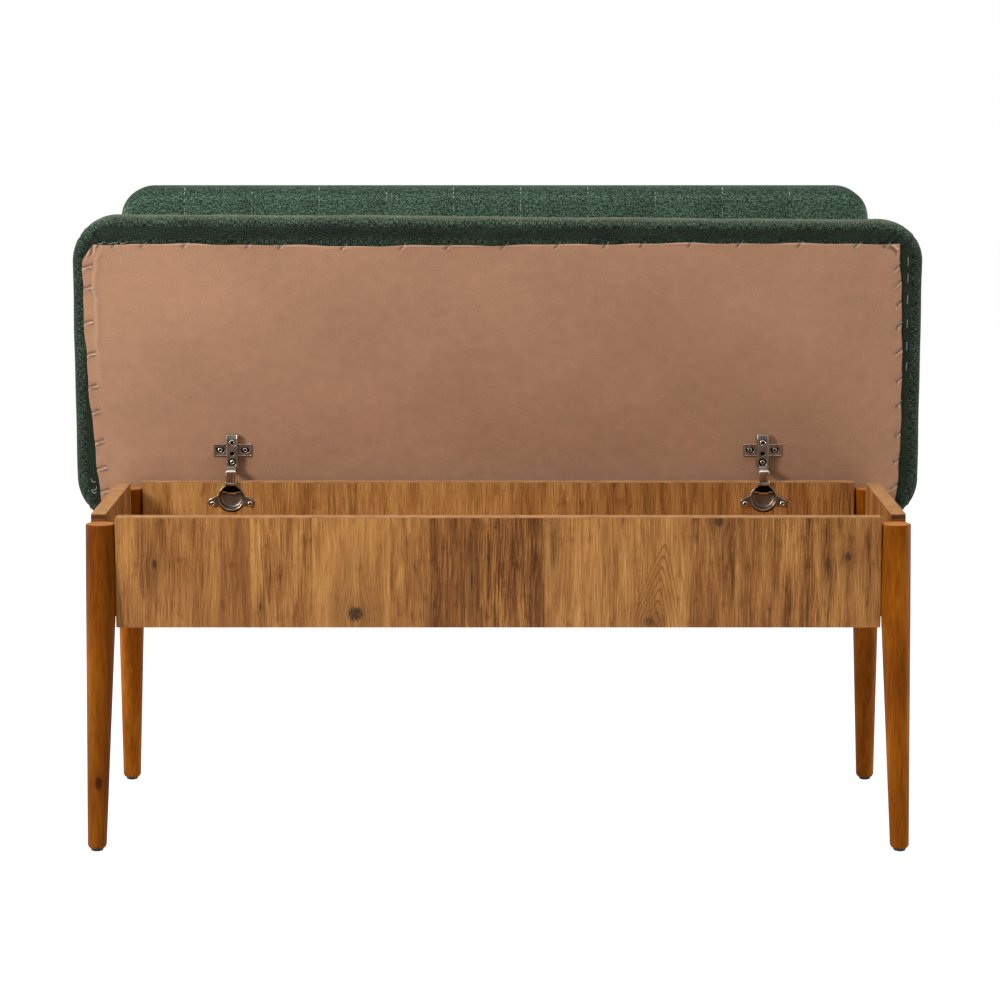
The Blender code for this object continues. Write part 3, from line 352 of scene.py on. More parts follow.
def lining_finish(name, tone, crease_shaded=False):
    """Thin felted lining: pressed fibres, faint drawn lines and a slight mottle.

    Where asked, the lining gets painted shade beside its tucks, where its shade is above nothing, and a
    painted highlight on their lips, where it is below nothing.
    """
    f = Finish(name)
    u, v = cloth_coordinates(f)
    cloud = f.noise(f.point(u / 170, v / 140), detail=2.0)
    patch = f.noise(f.point(u / 17, v / 14, 5.0), detail=3.0)
    fibre = f.noise(f.point(u / 1.3, v / 1.1, 9.0), detail=3.0)
    drawn = f.noise(f.point(u / 9, v / 2.0, 2.0), detail=2.0)
    share = cloud * 0.20 + patch * 0.15 + fibre * 0.50 + drawn * 0.03 + 0.08
    low = tuple(c * 0.88 for c in tone)
    high = tuple(c * 1.10 for c in tone)
    colour = f.ramp(share, (0.40, low), (0.53, tone), (0.66, high))
    # Painted shade in the tucks' grooves and painted highlight on their lips
    if crease_shaded:
        shade = f.shade()
        colour = f.blend(shade.step(0.0, 1.0) * 0.62, colour, srgb(74, 50, 40))
        colour = f.blend((shade * -1).step(0.0, 1.0) * 0.55, colour, srgb(226, 194, 166))
    relief = fibre * 1.2 + drawn * 0.4
    return f.paint(colour, 0.9, relief, 0.00018, Sheen_Weight=0.03, Specular_IOR_Level=0.15)


def metal_finish(name, tone, rough, metal=1.0, sunk=False):
    """Plated or coated metal with faint clouding and a fine brushed relief.

    Where asked, the metal is painted dark and made rough inside its holes and recesses, where the piece's
    shade is 1, as painted shade. It is also painted darker and made rougher where it faces upwards, as
    painted shade that tones down the light from above.
    """
    f = Finish(name)
    cloud = f.noise(f.place, 90, 3.0)
    scratch = f.noise(f.point(f.x * 300, f.y * 300, f.z * 2600), detail=2.0)
    low = tuple(c * 0.84 for c in tone)
    colour = f.ramp(cloud, (0.35, low), (0.65, tone))
    shine = rough + cloud * 0.12 + scratch * 0.05
    if sunk:
        dark = f.shade()
        up = f.normal_up().step(0.45, 0.9)
        # Painted shade on the upward faces, toning down the light from above
        colour = f.blend(up * 0.55, colour, srgb(112, 98, 86))
        # Painted shade in holes and recesses
        colour = f.blend(dark, colour, srgb(26, 20, 17))
        shine = shine + dark * 0.5 + up * 0.3
    return f.paint(colour, shine, scratch, 0.00003, metal)


def foam_finish(name):
    """Pale foam with fine open cells."""
    f = Finish(name)
    cells = f.noise(f.place, 700, 2.0)
    colour = f.ramp(cells, (0.35, (205, 196, 160)), (0.65, (228, 221, 190)))
    return f.paint(colour, 0.95, cells, 0.0006)


# Points nearer than this are one point
WELD = 2e-6


def surface(name, grid, body, finish, cloth=None, shade=None):
    """A piece over a grid of points, rows by columns. Sides and poles that meet are welded.

    Cloth gives each point's place on the flat cloth, in metres, and shade a number that the finish reads.
    """
    rows, columns = grid.shape[:2]
    index = np.arange(rows * columns).reshape(rows, columns)
    quads = np.stack((index[:-1, :-1], index[:-1, 1:], index[1:, 1:], index[1:, :-1]), axis=-1).reshape(-1, 4)
    return piece_from(name, grid.reshape(-1, 3), quads, body, finish, cloth, shade)


def piece_from(name, points, quads, body, finish, cloth=None, shade=None):
    """A piece from points and four-sided faces. Points that meet are welded, and faces turned outwards."""
    mesh = bpy.data.meshes.new(name)
    mesh.from_pydata(points.tolist(), [], quads.tolist())
    if shade is not None:
        layer = mesh.attributes.new("shade", "FLOAT", "POINT")
        layer.data.foreach_set("value", np.asarray(shade, np.float32).ravel())
    if cloth is not None:
        layer = mesh.uv_layers.new(name="cloth")
        layer.data.foreach_set("uv", cloth.reshape(-1, 2)[quads.ravel()].astype(np.float32).ravel())
    builder = bmesh.new()
    builder.from_mesh(mesh)
    bmesh.ops.remove_doubles(builder, verts=builder.verts, dist=WELD)
    bmesh.ops.recalc_face_normals(builder, faces=builder.faces)
    builder.to_mesh(mesh)
    builder.free()
    mesh.shade_smooth()
    mesh.materials.append(finish)
    piece = bpy.data.objects.new(name, mesh)
    bpy.context.scene.collection.objects.link(piece)
    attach(piece, body)
    return piece


def thicken(piece, thickness, offset=0.0):
    """Gives a sheet its thickness, about its surface or, with an offset of minus one, behind it."""
    skin = piece.modifiers.new("thickness", "SOLIDIFY")
    skin.thickness = thickness
    skin.offset = offset


def tubes(name, paths, radius, sides, body, finish, across=(0, 1, 0)):
    """Many short round wires in one piece: a circle carried along each path, whose two ends close on poles.

    Paths is wires by points by 3. A circle's first direction is square to the path and to across.
    """
    paths = np.asarray(paths, float)
    paths = np.concatenate((paths[:, :1], paths, paths[:, -1:]), axis=1)
    run = np.gradient(paths[:, 1:-1], axis=1)
    run = np.concatenate((run[:, :1], run, run[:, -1:]), axis=1)
    run /= np.linalg.norm(run, axis=2, keepdims=True)
    side = np.cross(run, np.asarray(across, float))
    side /= np.linalg.norm(side, axis=2, keepdims=True)
    over = np.cross(side, run)
    turn = np.linspace(0, 2 * math.pi, sides + 1)
    reach = np.full(paths.shape[1], radius)
    reach[[0, -1]] = 0.0
    ring = side[:, :, None] * np.cos(turn)[:, None] + over[:, :, None] * np.sin(turn)[:, None]
    points = paths[:, :, None] + ring * reach[None, :, None, None]
    count, rows, columns = points.shape[:3]
    index = np.arange(count * rows * columns).reshape(count, rows, columns)
    corners = (index[:, :-1, :-1], index[:, :-1, 1:], index[:, 1:, 1:], index[:, 1:, :-1])
    quads = np.stack(corners, axis=-1).reshape(-1, 4)
    return piece_from(name, points.reshape(-1, 3), quads, body, finish)


def slab(name, low, high, radii, profile, body, finish):
    """A plate with rounded corners in x and z, swept through a profile of insets and depths along y.

    Radii are for the corners lower right, upper right, upper left and lower left. The first and last rows
    close on the plate's middle line.
    """
    corners = np.array(((high[0], low[1]), (high[0], high[1]), (low[0], high[1]), (low[0], low[1])))
    inwards = np.array(((-1, 1), (-1, -1), (1, -1), (1, 1)))
    loop, outward = [], []
    for quarter in range(4):
        turn = math.radians(90 * quarter - 90) + np.linspace(0, math.pi / 2, 9)
        way = np.column_stack((np.cos(turn), np.sin(turn)))
        loop.append(corners[quarter] + inwards[quarter] * radii[quarter] + radii[quarter] * way)
        outward.append(way)
    loop = np.concatenate((*loop, loop[0][:1]))
    outward = np.concatenate((*outward, outward[0][:1]))
    profile = np.array(profile)
    ring = loop[None] - profile[:, :1, None] * outward[None]
    middle = (np.array(low) + np.array(high)) / 2
    half = (np.array(high) - np.array(low)) / 2
    spare = np.maximum(half - half.min(), 0)
    line = middle + np.clip(loop - middle, -spare, spare)
    ring = np.concatenate((line[None], ring, line[None]))
    depth = np.concatenate((profile[:1, 1], profile[:, 1], profile[-1:, 1]))
    y = np.broadcast_to(depth[:, None], ring.shape[:2])
    return surface(name, np.stack((ring[..., 0], y, ring[..., 1]), axis=-1), body, finish)


def smooth(value, low, high):
    """Smooth step: nothing below low and one above high."""
    share = np.clip((value - low) / (high - low), 0, 1)
    return share * share * (3 - 2 * share)


def bell(away, width):
    """One where away is nothing, dying out to both sides: e to the minus square of away over width."""
    return np.exp(-((away / width) ** 2))


def front_board(finish):
    """The front panel with its rounded top corners, its edges softened by a quarter arc on both faces."""
    turn = np.linspace(0, math.pi / 2, 6)
    ease, foot, top = 0.0012, 0.0016, 0.0035
    near = [(ease * (1 - math.sin(t)), front_low.y + ease * (1 - math.cos(t))) for t in turn]
    far = [(ease * (1 - math.cos(t)), front_high.y - ease * (1 - math.sin(t))) for t in turn]
    low, high = (front_low.x, front_low.z), (front_high.x, front_high.z)
    board = slab("front_board", low, high, (foot, top, top, foot), near + far, "box", finish)
    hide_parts("front_panel")


def pressed(name, low, high, height, face, back, body, finish):
    """Pressed metal plate in x and z. Height gives, at each point, how far it stands out and its painted
    shade, which is dark in its holes and seats.

    The plate's sides run straight back to its rear, and its outline stays square.
    """
    mesh_step = 0.00035
    lines = [np.linspace(a, b, max(8, round((b - a) / mesh_step))) for a, b in zip(low, high)]
    x, z = np.meshgrid(*lines)
    # The second map is painted shade, dark in the holes and seats
    out, sunk = height(x, z)
    y = face - out
    x, z, sunk = (np.pad(a, 1, mode="edge") for a in (x, z, sunk))
    y = np.pad(y, 1, constant_values=back)
    return surface(name, np.stack((x, y, z), axis=-1), body, finish, shade=sunk)


def edge_drop(x, z, low, high, radius):
    """How far a rounded edge has dropped at a point, from its distance to the plate's nearest side."""
    away = np.minimum.reduce((x - low[0], high[0] - x, z - low[1], high[1] - z))
    left = np.clip(radius - away, 0, radius)
    return radius - np.sqrt(radius**2 - left**2)


def hole_share(x, z, centre, half_x, half_z):
    """One inside a long round-ended hole, falling to nothing over 0.6 mm at its edge."""
    spare = max(half_x - half_z, 0)
    dx = np.maximum(np.abs(x - centre[0]) - spare, 0)
    away = np.hypot(dx, z - centre[1]) - min(half_x, half_z)
    return 1 - smooth(away, -0.0004, 0.0002)


# How far a screw head's side runs on behind the face that it sits on
SKIRT = 0.001


def screw_head(name, centre, face, radius, height, recess, replaced, body, finish):
    """Screw head: a turned profile that falls as the root of one minus the fourth power of its radius.

    A cross and a round pit are sunk in its middle, and its side runs on behind the face.
    """
    share = np.linspace(0, 1, 20)[:, None]
    turn = np.linspace(0, 2 * math.pi, 49)[None, :]
    reach = radius * share
    dx, dz = reach * np.cos(turn), reach * np.sin(turn)
    crown = height * np.sqrt(np.clip(1 - share**4, 0, 1))
    slots = np.minimum(np.abs(dx + dz), np.abs(dx - dz)) / math.sqrt(2)
    cross = 1 - smooth(slots, recess * 0.28, recess * 0.42)
    cross = cross * (1 - smooth(reach, recess * 0.9, recess * 1.1))
    socket = np.maximum(cross, 1 - smooth(reach, recess * 0.45, recess * 0.75))
    y = face - crown + socket * height * 0.9
    grid = np.stack((centre[0] + dx, y + 0 * dz, centre[1] + dz), axis=-1)
    skirt = grid[-1:].copy()
    skirt[..., 1] = face + SKIRT
    # Painted shade: the cross and the pit are painted dark, the skirt not
    sunk = np.concatenate((socket, socket[-1:] * 0))
    piece = surface(name, np.concatenate((grid, skirt)), body, finish, shade=sunk)
    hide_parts(replaced)


# Heights above the open lid's level line of a hinge's wing screws, middle hole, two arm screws and nose
WING_RISE = 0.0375
HOLE_RISE = 0.0337
ADJUST_RISE = 0.0225
CLAMP_RISE = 0.0480
NOSE_RISE = 0.0130
# Sideways reach of the wing screws and of the cup screws from a hinge's middle
WING_REACH = 0.016
EAR_REACH = 0.024
# Half width and half height of the wings' slots and of the arm's middle hole, and the radii of its two seats
WING_SLOT = (0.0056, 0.0038)
ARM_HOLE = (0.0030, 0.0026)
CLAMP_SEAT = 0.0052
ADJUST_SEAT = 0.0050


def hinge(label, steel, bright):
    """One hinge: the winged plate, the channelled arm with its nose, and the heads of all its screws.

    Plate and arm are height maps: a flat face with raised lips, rounded edges and sunk holes.
    """
    plate_low, plate_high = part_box(label + "_hinge_plate")
    arm_low, arm_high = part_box(label + "_hinge_arm")
    middle = (plate_low.x + plate_high.x) / 2
    wing_z = LINE_Z + WING_RISE
    low, high = (plate_low.x, wing_z - 0.008), (plate_high.x, wing_z + 0.008)
    spots = [(middle - WING_REACH, wing_z), (middle + WING_REACH, wing_z)]

    def wings(x, z):
        """The plate: a raised lip along its sides and a shallow slot round each screw."""
        away = np.minimum.reduce((x - low[0], high[0] - x, z - low[1], high[1] - z))
        lip = 1 - smooth(away, 0.0009, 0.0019)
        slot = np.maximum(*(hole_share(x, z, spot, *WING_SLOT) for spot in spots))
        rise = 0.0022 + 0.0006 * lip - edge_drop(x, z, low, high, 0.0007)
        # The slot's share is also painted shade, dark in the slots
        return rise - 0.0007 * slot, slot

    wing = pressed(label + "_wing_plate", low, high, wings, FACE_Y, FACE_Y, "lid", steel)

    half = 0.0075
    low, high = (middle - half, arm_low.z + 0.0022), (middle + half, arm_high.z)
    face = FACE_Y - 0.0106
    hole, ring_low, ring_high = ((middle, LINE_Z + rise) for rise in (HOLE_RISE, ADJUST_RISE, CLAMP_RISE))

    def channel(x, z):
        """The arm: a raised lip along both sides, two screw seats, a hole between them and a sloping end."""
        away = np.minimum(x - low[0], high[0] - x)
        lip = 1 - smooth(away, 0.0010, 0.0020)
        seat = hole_share(x, z, ring_high, CLAMP_SEAT, CLAMP_SEAT)
        pit = hole_share(x, z, ring_low, ADJUST_SEAT, ADJUST_SEAT)
        slot = np.maximum(pit, hole_share(x, z, hole, *ARM_HOLE))
        end = smooth(z, high[1] - 0.0060, high[1]) * 0.0012
        foot = (1 - smooth(z, low[1] + 0.0005, low[1] + 0.0020)) * 0.0006
        rise = 0.0003 * lip + foot - edge_drop(x, z, low, high, 0.0014) - end
        # Painted shade: dark in the hole and the adjusting screw's pit, and darker round the clamping screw's
        # seat
        return rise - 0.0004 * seat - 0.0028 * slot, np.maximum(slot, seat * 0.75)

    rear = FACE_Y - 0.0030
    arm = pressed(label + "_pressed_arm", low, high, channel, face, rear, "lid", steel)
    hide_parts(label + "_hinge_plate")
    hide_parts(label + "_hinge_arm")
    # A head is its name, its place, the face that it sits on, its radius, its height and its recess's radius
    clamp = (label + "_clamp_head", ring_high, face - 0.0001, 0.0041, 0.0014, 0.0029)
    adjust = (label + "_adjust_head", ring_low, face + 0.0008, 0.0033, 0.0012, 0.0018)
    screw_head(*clamp, label + "_clamping_screw", "lid", bright)
    screw_head(*adjust, label + "_adjusting_screw", "lid", bright)
    ways = ("outer", "inner") if label == "left" else ("inner", "outer")
    for way, spot in zip(ways, spots):
        head = (f"{label}_wing_head_{way}", spot, FACE_Y - 0.0016, 0.0032, 0.0011, 0.0019)
        screw_head(*head, f"{label}_plate_screw_{way}", "lid", bright)
    nose_half, nose_tall, ease = 0.0055, 0.0054, 0.0008
    low, high = (middle - nose_half, LINE_Z + NOSE_RISE), (middle + nose_half, LINE_Z + NOSE_RISE + nose_tall)
    front = ((ease, 0.0233), (0.0002, 0.0230), (0.0, 0.0225), (0.0, 0.0090))
    profile = [(inset, FACE_Y - out) for inset, out in front]
    slab(label + "_arm_nose", low, high, (ease,) * 4, profile, "lid", steel)
    for way, side in zip(ways, (-1, 1)):
        screw = f"{label}_cup_screw_{way}"
        low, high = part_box(screw)
        spot = (middle + side * EAR_REACH, (low.z + high.z) / 2)
        head = (f"{label}_cup_head_{way}", spot, low.y + 0.0016, 0.0034, 0.0016, 0.0018)
        screw_head(*head, screw, "box", bright)


def hinge_cup(label, finish):
    """The pressed cup: rings from the floor's middle, up the wall, over the lip and out to the flange's edge.

    The outline is the larger reach, in each direction, of the round flange and of the two screw ears.
    """
    low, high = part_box(label + "_hinge_cup")
    middle = (low.x + high.x) / 2
    flange, ear, neck, ear_z = 0.0174, 0.0058, 0.0085, -0.006
    cup_radius = 0.0175
    centre_z = high.z - cup_radius
    turn = np.linspace(0, 2 * math.pi, 145)
    cos, sin = np.cos(turn), np.sin(turn)
    reach = np.full(turn.shape, flange)
    for side in (-1, 1):
        for share in np.linspace(0.35, 1.0, 27):
            radius = ear + (neck - ear) * (1 - share)
            toward = side * EAR_REACH * share * cos + ear_z * share * sin
            across = side * EAR_REACH * share * sin - ear_z * share * cos
            half = np.sqrt(np.clip(radius**2 - across**2, 0, None))
            reach = np.maximum(reach, np.where((np.abs(across) < radius) & (toward > 0), toward + half, 0))
    floor, floor_reach, bend, mouth, lip_wide, lip_deep = 0.0100, 0.0115, 0.0030, 0.0150, 0.0012, 0.0014
    curl = np.linspace(0, math.pi / 2, 6)
    inner = np.concatenate((
        (0.0, 0.006, floor_reach),
        floor_reach + bend * np.sin(curl[1:]),
        mouth + lip_wide * (1 - np.cos(curl)),
    ))
    depth = np.concatenate((
        (floor, floor, floor),
        floor - bend * (1 - np.cos(curl[1:])),
        lip_deep * (1 - np.sin(curl)),
    ))
    ring = np.broadcast_to(inner[:, None], (len(inner), len(turn)))
    ease, sheet_metal = 0.0006, 0.0016
    outer = [ring[-1] + (reach - ease - ring[-1]) * 0.5, reach - ease, reach - ease / 3, reach, reach]
    ring = np.concatenate((ring, np.array(outer)))
    depth = np.concatenate((depth, (0.0, 0.0, ease / 3, ease, sheet_metal)))
    x = middle + ring * cos
    z = centre_z + ring * sin
    y = low.y + depth[:, None] + 0 * ring
    # Painted shade inside the cup, darkest in its upper half, under the link
    inside = smooth(depth, 0.0008, 0.0040)[:, None]
    dark = inside * (0.25 + 0.75 * smooth(z - centre_z, 0.000, 0.008))
    grid = np.stack((x, y, z), axis=-1)
    cup = surface(label + "_pressed_cup", grid, "box", finish, shade=dark)
    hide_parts(label + "_hinge_cup")


def hinge_link(label, finish):
    """The bent link: a strip with curled sides swept up from its pin, its flat face embossed inside a rim.

    The strip's path joins its bends by straight lines, with a parabola round each corner. An eye goes round
    the pin.
    """
    low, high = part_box(label + "_hinge_link")
    pin_low, pin_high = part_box(label + "_hinge_pin")
    middle = (low.x + high.x) / 2
    pin_y, pin_z = (pin_low.y + pin_high.y) / 2, (pin_low.z + pin_high.z) / 2
    # How far out from the pin and how far above it the strip bends
    bends = np.array((
        (0.0030, 0.0006), (0.0070, 0.0030), (0.0108, 0.0108), (0.0112, 0.0284), (-0.0029, 0.0286),
    ))
    share = np.linspace(0, 1, 15)[:, None]
    path = [bends[:1]]
    for before, corner, after in zip(bends, bends[1:], bends[2:]):
        reach = min(0.0020, 0.45 * np.linalg.norm(before - corner), 0.45 * np.linalg.norm(after - corner))
        start = corner + (before - corner) / np.linalg.norm(before - corner) * reach
        end = corner + (after - corner) / np.linalg.norm(after - corner) * reach
        path.append((1 - share) ** 2 * start + 2 * share * (1 - share) * corner + share**2 * end)
    path.append(bends[-1:])
    path = np.concatenate(path)
    steps = np.concatenate(((0.0,), np.cumsum(np.linalg.norm(np.diff(path, axis=0), axis=1))))
    even = np.linspace(0, steps[-1], 110)
    path = np.column_stack([np.interp(even, steps, path[:, k]) for k in range(2)])
    run = np.gradient(path, axis=0)
    run /= np.linalg.norm(run, axis=1, keepdims=True)
    out = np.column_stack((run[:, 1], -run[:, 0]))
    half, roll, skirt = 0.0064, 0.0014, 0.0026
    curl = np.linspace(math.pi / 2, 0, 8)
    side = np.concatenate((half - roll * (1 - np.sin(curl)), np.linspace(half - roll, 0, 16)[1:]))
    drop = np.concatenate((roll * (1 - np.cos(curl)), np.zeros(15)))
    side = np.concatenate(((half,), side, -side[::-1][1:], (-half,)))
    drop = np.concatenate(((skirt,), drop, drop[::-1][1:], (skirt,)))
    inner = smooth(half - np.abs(side), 0.0022, 0.0030)[None]
    height = path[:, 1]
    window = smooth(height, 0.0124, 0.0134) * (1 - smooth(height, 0.0246, 0.0256))
    window = (window * (path[:, 0] > 0.009))[:, None]
    flare = 1 + (0.14 * (1 - smooth(height, 0.0118, 0.0160)) * smooth(height, 0.0060, 0.0100))[:, None]
    lift = 0.0010 - drop[None] - 0.0005 * inner * window
    y = pin_y - (path[:, :1] + out[:, :1] * lift)
    z = pin_z + (path[:, 1:] + out[:, 1:] * lift)
    x = middle + side[None] * flare + 0 * y
    inset = inner * window
    # Painted shade: the link's foot, down in the cup, and a line round the embossed face's edge are painted
    # dark
    link_shade = np.clip(1 - smooth(z - pin_z, 0.0098, 0.0108) + 2.4 * inset * (1 - inset), 0, 1)
    bent = np.stack((x, y, z), axis=-1)
    strip = surface(label + "_bent_link", bent, label + "_link", finish, shade=link_shade)
    thicken(strip, 0.0011, -1.0)
    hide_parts(label + "_hinge_link")
    turn = np.linspace(0, 2 * math.pi, 33)
    reach = np.array((0.0018, 0.0030, 0.0034, 0.0034, 0.0030, 0.0018))
    along_x = np.array((-0.0065, -0.0065, -0.0061, 0.0061, 0.0065, 0.0065))
    x = middle + along_x[:, None] + 0 * turn
    y = pin_y + reach[:, None] * np.cos(turn)
    z = pin_z + reach[:, None] * np.sin(turn)
    surface(label + "_link_eye", np.stack((x, y, z), axis=-1), label + "_link", finish)


def rounded_outline(half_x, half_z, radius, count):
    """Points round a rounded rectangle, evenly spaced by length, with their outward directions and places.

    Sides and arcs follow each other from the right side's foot, and the first point is repeated.
    """
    straight_x = 2 * (half_x - radius)
    straight_z = 2 * (half_z - radius)
    quarter = radius * math.pi / 2
    lengths = np.array((straight_z, quarter, straight_x, quarter) * 2)
    ends = np.cumsum(lengths)
    place = np.linspace(0, ends[-1], count + 1)
    part = np.minimum(np.searchsorted(ends, place, side="right"), 7)
    onward = place - (ends - lengths)[part]
    side = part // 2
    on_arc = part % 2 == 1
    angle = side * math.pi / 2 + np.where(on_arc, onward / radius, 0.0)
    outward = np.column_stack((np.cos(angle), np.sin(angle)))
    corner_x = np.array((1, -1, -1, 1))[side] * (half_x - radius)
    corner_z = np.array((1, 1, -1, -1))[side] * (half_z - radius)
    start_x = np.array((1, 1, -1, -1))[side] * (half_x - radius)
    start_z = np.array((-1, 1, 1, -1))[side] * (half_z - radius)
    heading = np.column_stack((-np.sin(side * math.pi / 2), np.cos(side * math.pi / 2)))
    corner = np.column_stack((corner_x, corner_z))
    base = np.where(on_arc[:, None], corner, np.column_stack((start_x, start_z)))
    points = base + radius * outward + heading * np.where(on_arc, 0.0, onward)[:, None]
    return points, outward, place


def middle_line(outline, half_x, half_z):
    """The nearest point to each outline point on the long middle line of a rounded rectangle."""
    line = np.zeros_like(outline)
    line[:, 0] = np.clip(outline[:, 0], half_z - half_x, half_x - half_z)
    return line


def ripple(place, seed, lengths, heights):
    """Sum of sines along a line: a smooth, repeatable unevenness."""
    phases = np.random.default_rng(seed).uniform(0, 2 * math.pi, len(lengths))
    waves = zip(lengths, heights, phases)
    return np.sum([tall * np.sin(2 * math.pi * place / long + phase) for long, tall, phase in waves], axis=0)


# The rim's outward directions, in degrees, where its corners have pleats
PLEATS = (35, 52, 63, 131, 148, -40, -53, -128, -142)


def seat_pad(finish):
    """The padded seat: rings run from the middle of the underside, round the rim, to the middle of the top.

    A ring is the lid's outline moved inwards by an inset, then drawn by a share towards the long middle line.
    A pleat is a bell-shaped dent beside a lower ridge.
    """
    half_x = (cover_high.x - cover_low.x) / 2
    half_z = (cover_high.z - cover_low.z) / 2
    start = cover_low.y
    thick = cover_high.y - cover_low.y
    outline, outward, place = rounded_outline(half_x, half_z, 0.060, 1000)
    lower, upper, crown = 0.015, 0.026, 0.0068
    arc = np.linspace(0, math.pi / 2, 11)
    flat = np.linspace(1, 0, 14)[:-1]
    rise = np.linspace(0, 1, 6)[1:-1]
    top = np.linspace(0, 1, 22)[1:]
    edge_top = thick - crown
    inset = np.concatenate((
        np.full(len(flat), lower),
        lower * (1 - np.sin(arc)),
        np.zeros(len(rise)),
        upper * (1 - np.cos(arc)),
        np.full(len(top), upper),
    ))
    share = np.concatenate((flat, np.zeros(2 * len(arc) + len(rise)), top))
    depth = np.concatenate((
        np.zeros(len(flat)),
        lower * (1 - np.cos(arc)),
        lower + rise * (edge_top - upper - lower),
        edge_top - upper * (1 - np.sin(arc)),
        edge_top + crown * (1 - (1 - top) ** 2),
    ))
    rim = np.sin(np.clip(depth / edge_top, 0, 1) * math.pi)
    wave = ripple(place, 3, (0.31, 0.17, 0.083), (0.0003, 0.0003, 0.0002))
    pull = 0.0012 * (1 - np.minimum(1.0, np.abs(outline[:, 0]) / half_x) ** 2)
    inset = inset[:, None] + rim[:, None] * (pull - wave)[None]
    angle = np.arctan2(outward[:, 1], outward[:, 0])
    fold = bell(depth - 0.004, 0.011) * np.where(share > 0.16, 0, 1)
    pleat = np.zeros(len(place))
    for turned in np.radians(PLEATS):
        pleat = pleat + bell(angle - turned, 0.035) - 0.5 * bell(angle - turned - 0.07, 0.04)
    inset = inset + 0.0017 * fold[:, None] * pleat[None]
    # Painted shade in the pleats' dents, read by the seat cloth
    crease = fold[:, None] * np.clip(pleat, 0, 1)[None]
    ring = outline[None] - inset[..., None] * outward[None]
    line = middle_line(outline, half_x, half_z)
    ring = ring * (1 - share)[:, None, None] + line[None] * share[:, None, None]
    middle_x = (cover_low.x + cover_high.x) / 2
    middle_z = (cover_low.z + cover_high.z) / 2
    lean = np.interp(ring[..., 0], (-0.19, 0.46), (0.0, -0.0060)) * np.clip(ring[..., 1] / half_z, 0, 1) ** 6
    narrow = 1 - 0.0044 * np.clip(0.5 - ring[..., 1] / (2 * half_z), 0, 1)
    y = np.broadcast_to(start + depth[:, None], ring.shape[:2])
    grid = np.stack((ring[..., 0] * narrow + middle_x, y, ring[..., 1] + middle_z + lean), axis=-1)
    travel = np.cumsum(np.concatenate(((0.0,), np.linalg.norm(np.diff(grid[:, 0], axis=0), axis=1))))
    flat_part = (share > 0)[:, None]
    side_u = np.where(np.abs(outward[:, 0]) > 0.7, outline[:, 1], outline[:, 0])[None]
    side_v = travel[:, None] + 0 * side_u
    cloth_u = np.where(flat_part, ring[..., 0], side_u + 0 * side_v)
    cloth_v = np.where(flat_part, ring[..., 1], side_v + 0 * side_u)
    cloth = np.stack((cloth_u, cloth_v), axis=-1)
    pad = surface("seat_pad", grid, "lid", finish, cloth, crease)
    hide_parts("seat_cover", "seat_foam")


def staple_paths(places, angles, lift):
    """Staples on the lid's underside: each has a straight crown whose two ends dip into the cloth."""
    crown = 0.0105
    share = np.array((-0.5, -0.48, -0.40, 0.0, 0.40, 0.48, 0.5))
    dip = np.array((0.0016, 0.0004, 0.0, 0.0, 0.0, 0.0004, 0.0016))
    x = places[:, :1] + np.cos(angles)[:, None] * share * crown
    z = places[:, 1:] + np.sin(angles)[:, None] * share * crown
    y = FACE_Y - 0.0007 - lift + dip + 0 * x
    return np.stack((x, y, LINE_Z + z), axis=-1)


# The lining's cut edges, each a place along it and its height or side, and the staples that hold it
TOP_EDGE = (
    (-0.518, LINING_RISE), (-0.40, 0.3035), (-0.20, 0.3008), (0.0, 0.3018), (0.25, 0.3045), (0.5155, 0.3035),
)
LEFT_EDGE = (
    (-0.043, -0.504), (-0.030, -0.513), (0.018, -0.5175), (0.122, -0.527),
    (0.205, -0.531), (0.268, -0.5325), (0.283, -0.531), (LINING_RISE, -0.518),
)
RIGHT_EDGE = (
    (-0.043, 0.506), (-0.030, 0.514), (0.005, 0.519), (0.100, 0.521), (0.200, 0.520), (LINING_RISE, 0.5155),
)
TOP_STAPLES = np.array((
    -0.509, -0.490, -0.453, -0.399, -0.318, -0.276, -0.196, -0.120, -0.062, 0.010,
    0.078, 0.140, 0.187, 0.249, 0.311, 0.389, 0.462, 0.500,
))
LEFT_STAPLES = np.array((0.272, 0.245, 0.201, 0.160, 0.118, 0.085, 0.046, 0.012, -0.018))
RIGHT_STAPLES = np.array((0.276, 0.255, 0.229, 0.201, 0.168, 0.131, 0.099, 0.060, 0.026, -0.008))
# The lining's corner tucks: each a place across and up, its direction in radians, and its strength
CORNER_TUCKS = (
    (-0.526, 0.291, 1.25, 1.0), (-0.518, 0.296, 1.45, 0.8), (0.508, 0.299, 2.5, 0.9),
    (0.511, 0.294, 2.1, 0.6), (0.498, 0.301, 2.8, 0.5),
)


def along(edge, place):
    """Height or side of a cut edge at a place along it."""
    places, heights = np.array(edge).T
    return np.interp(place, places, heights)


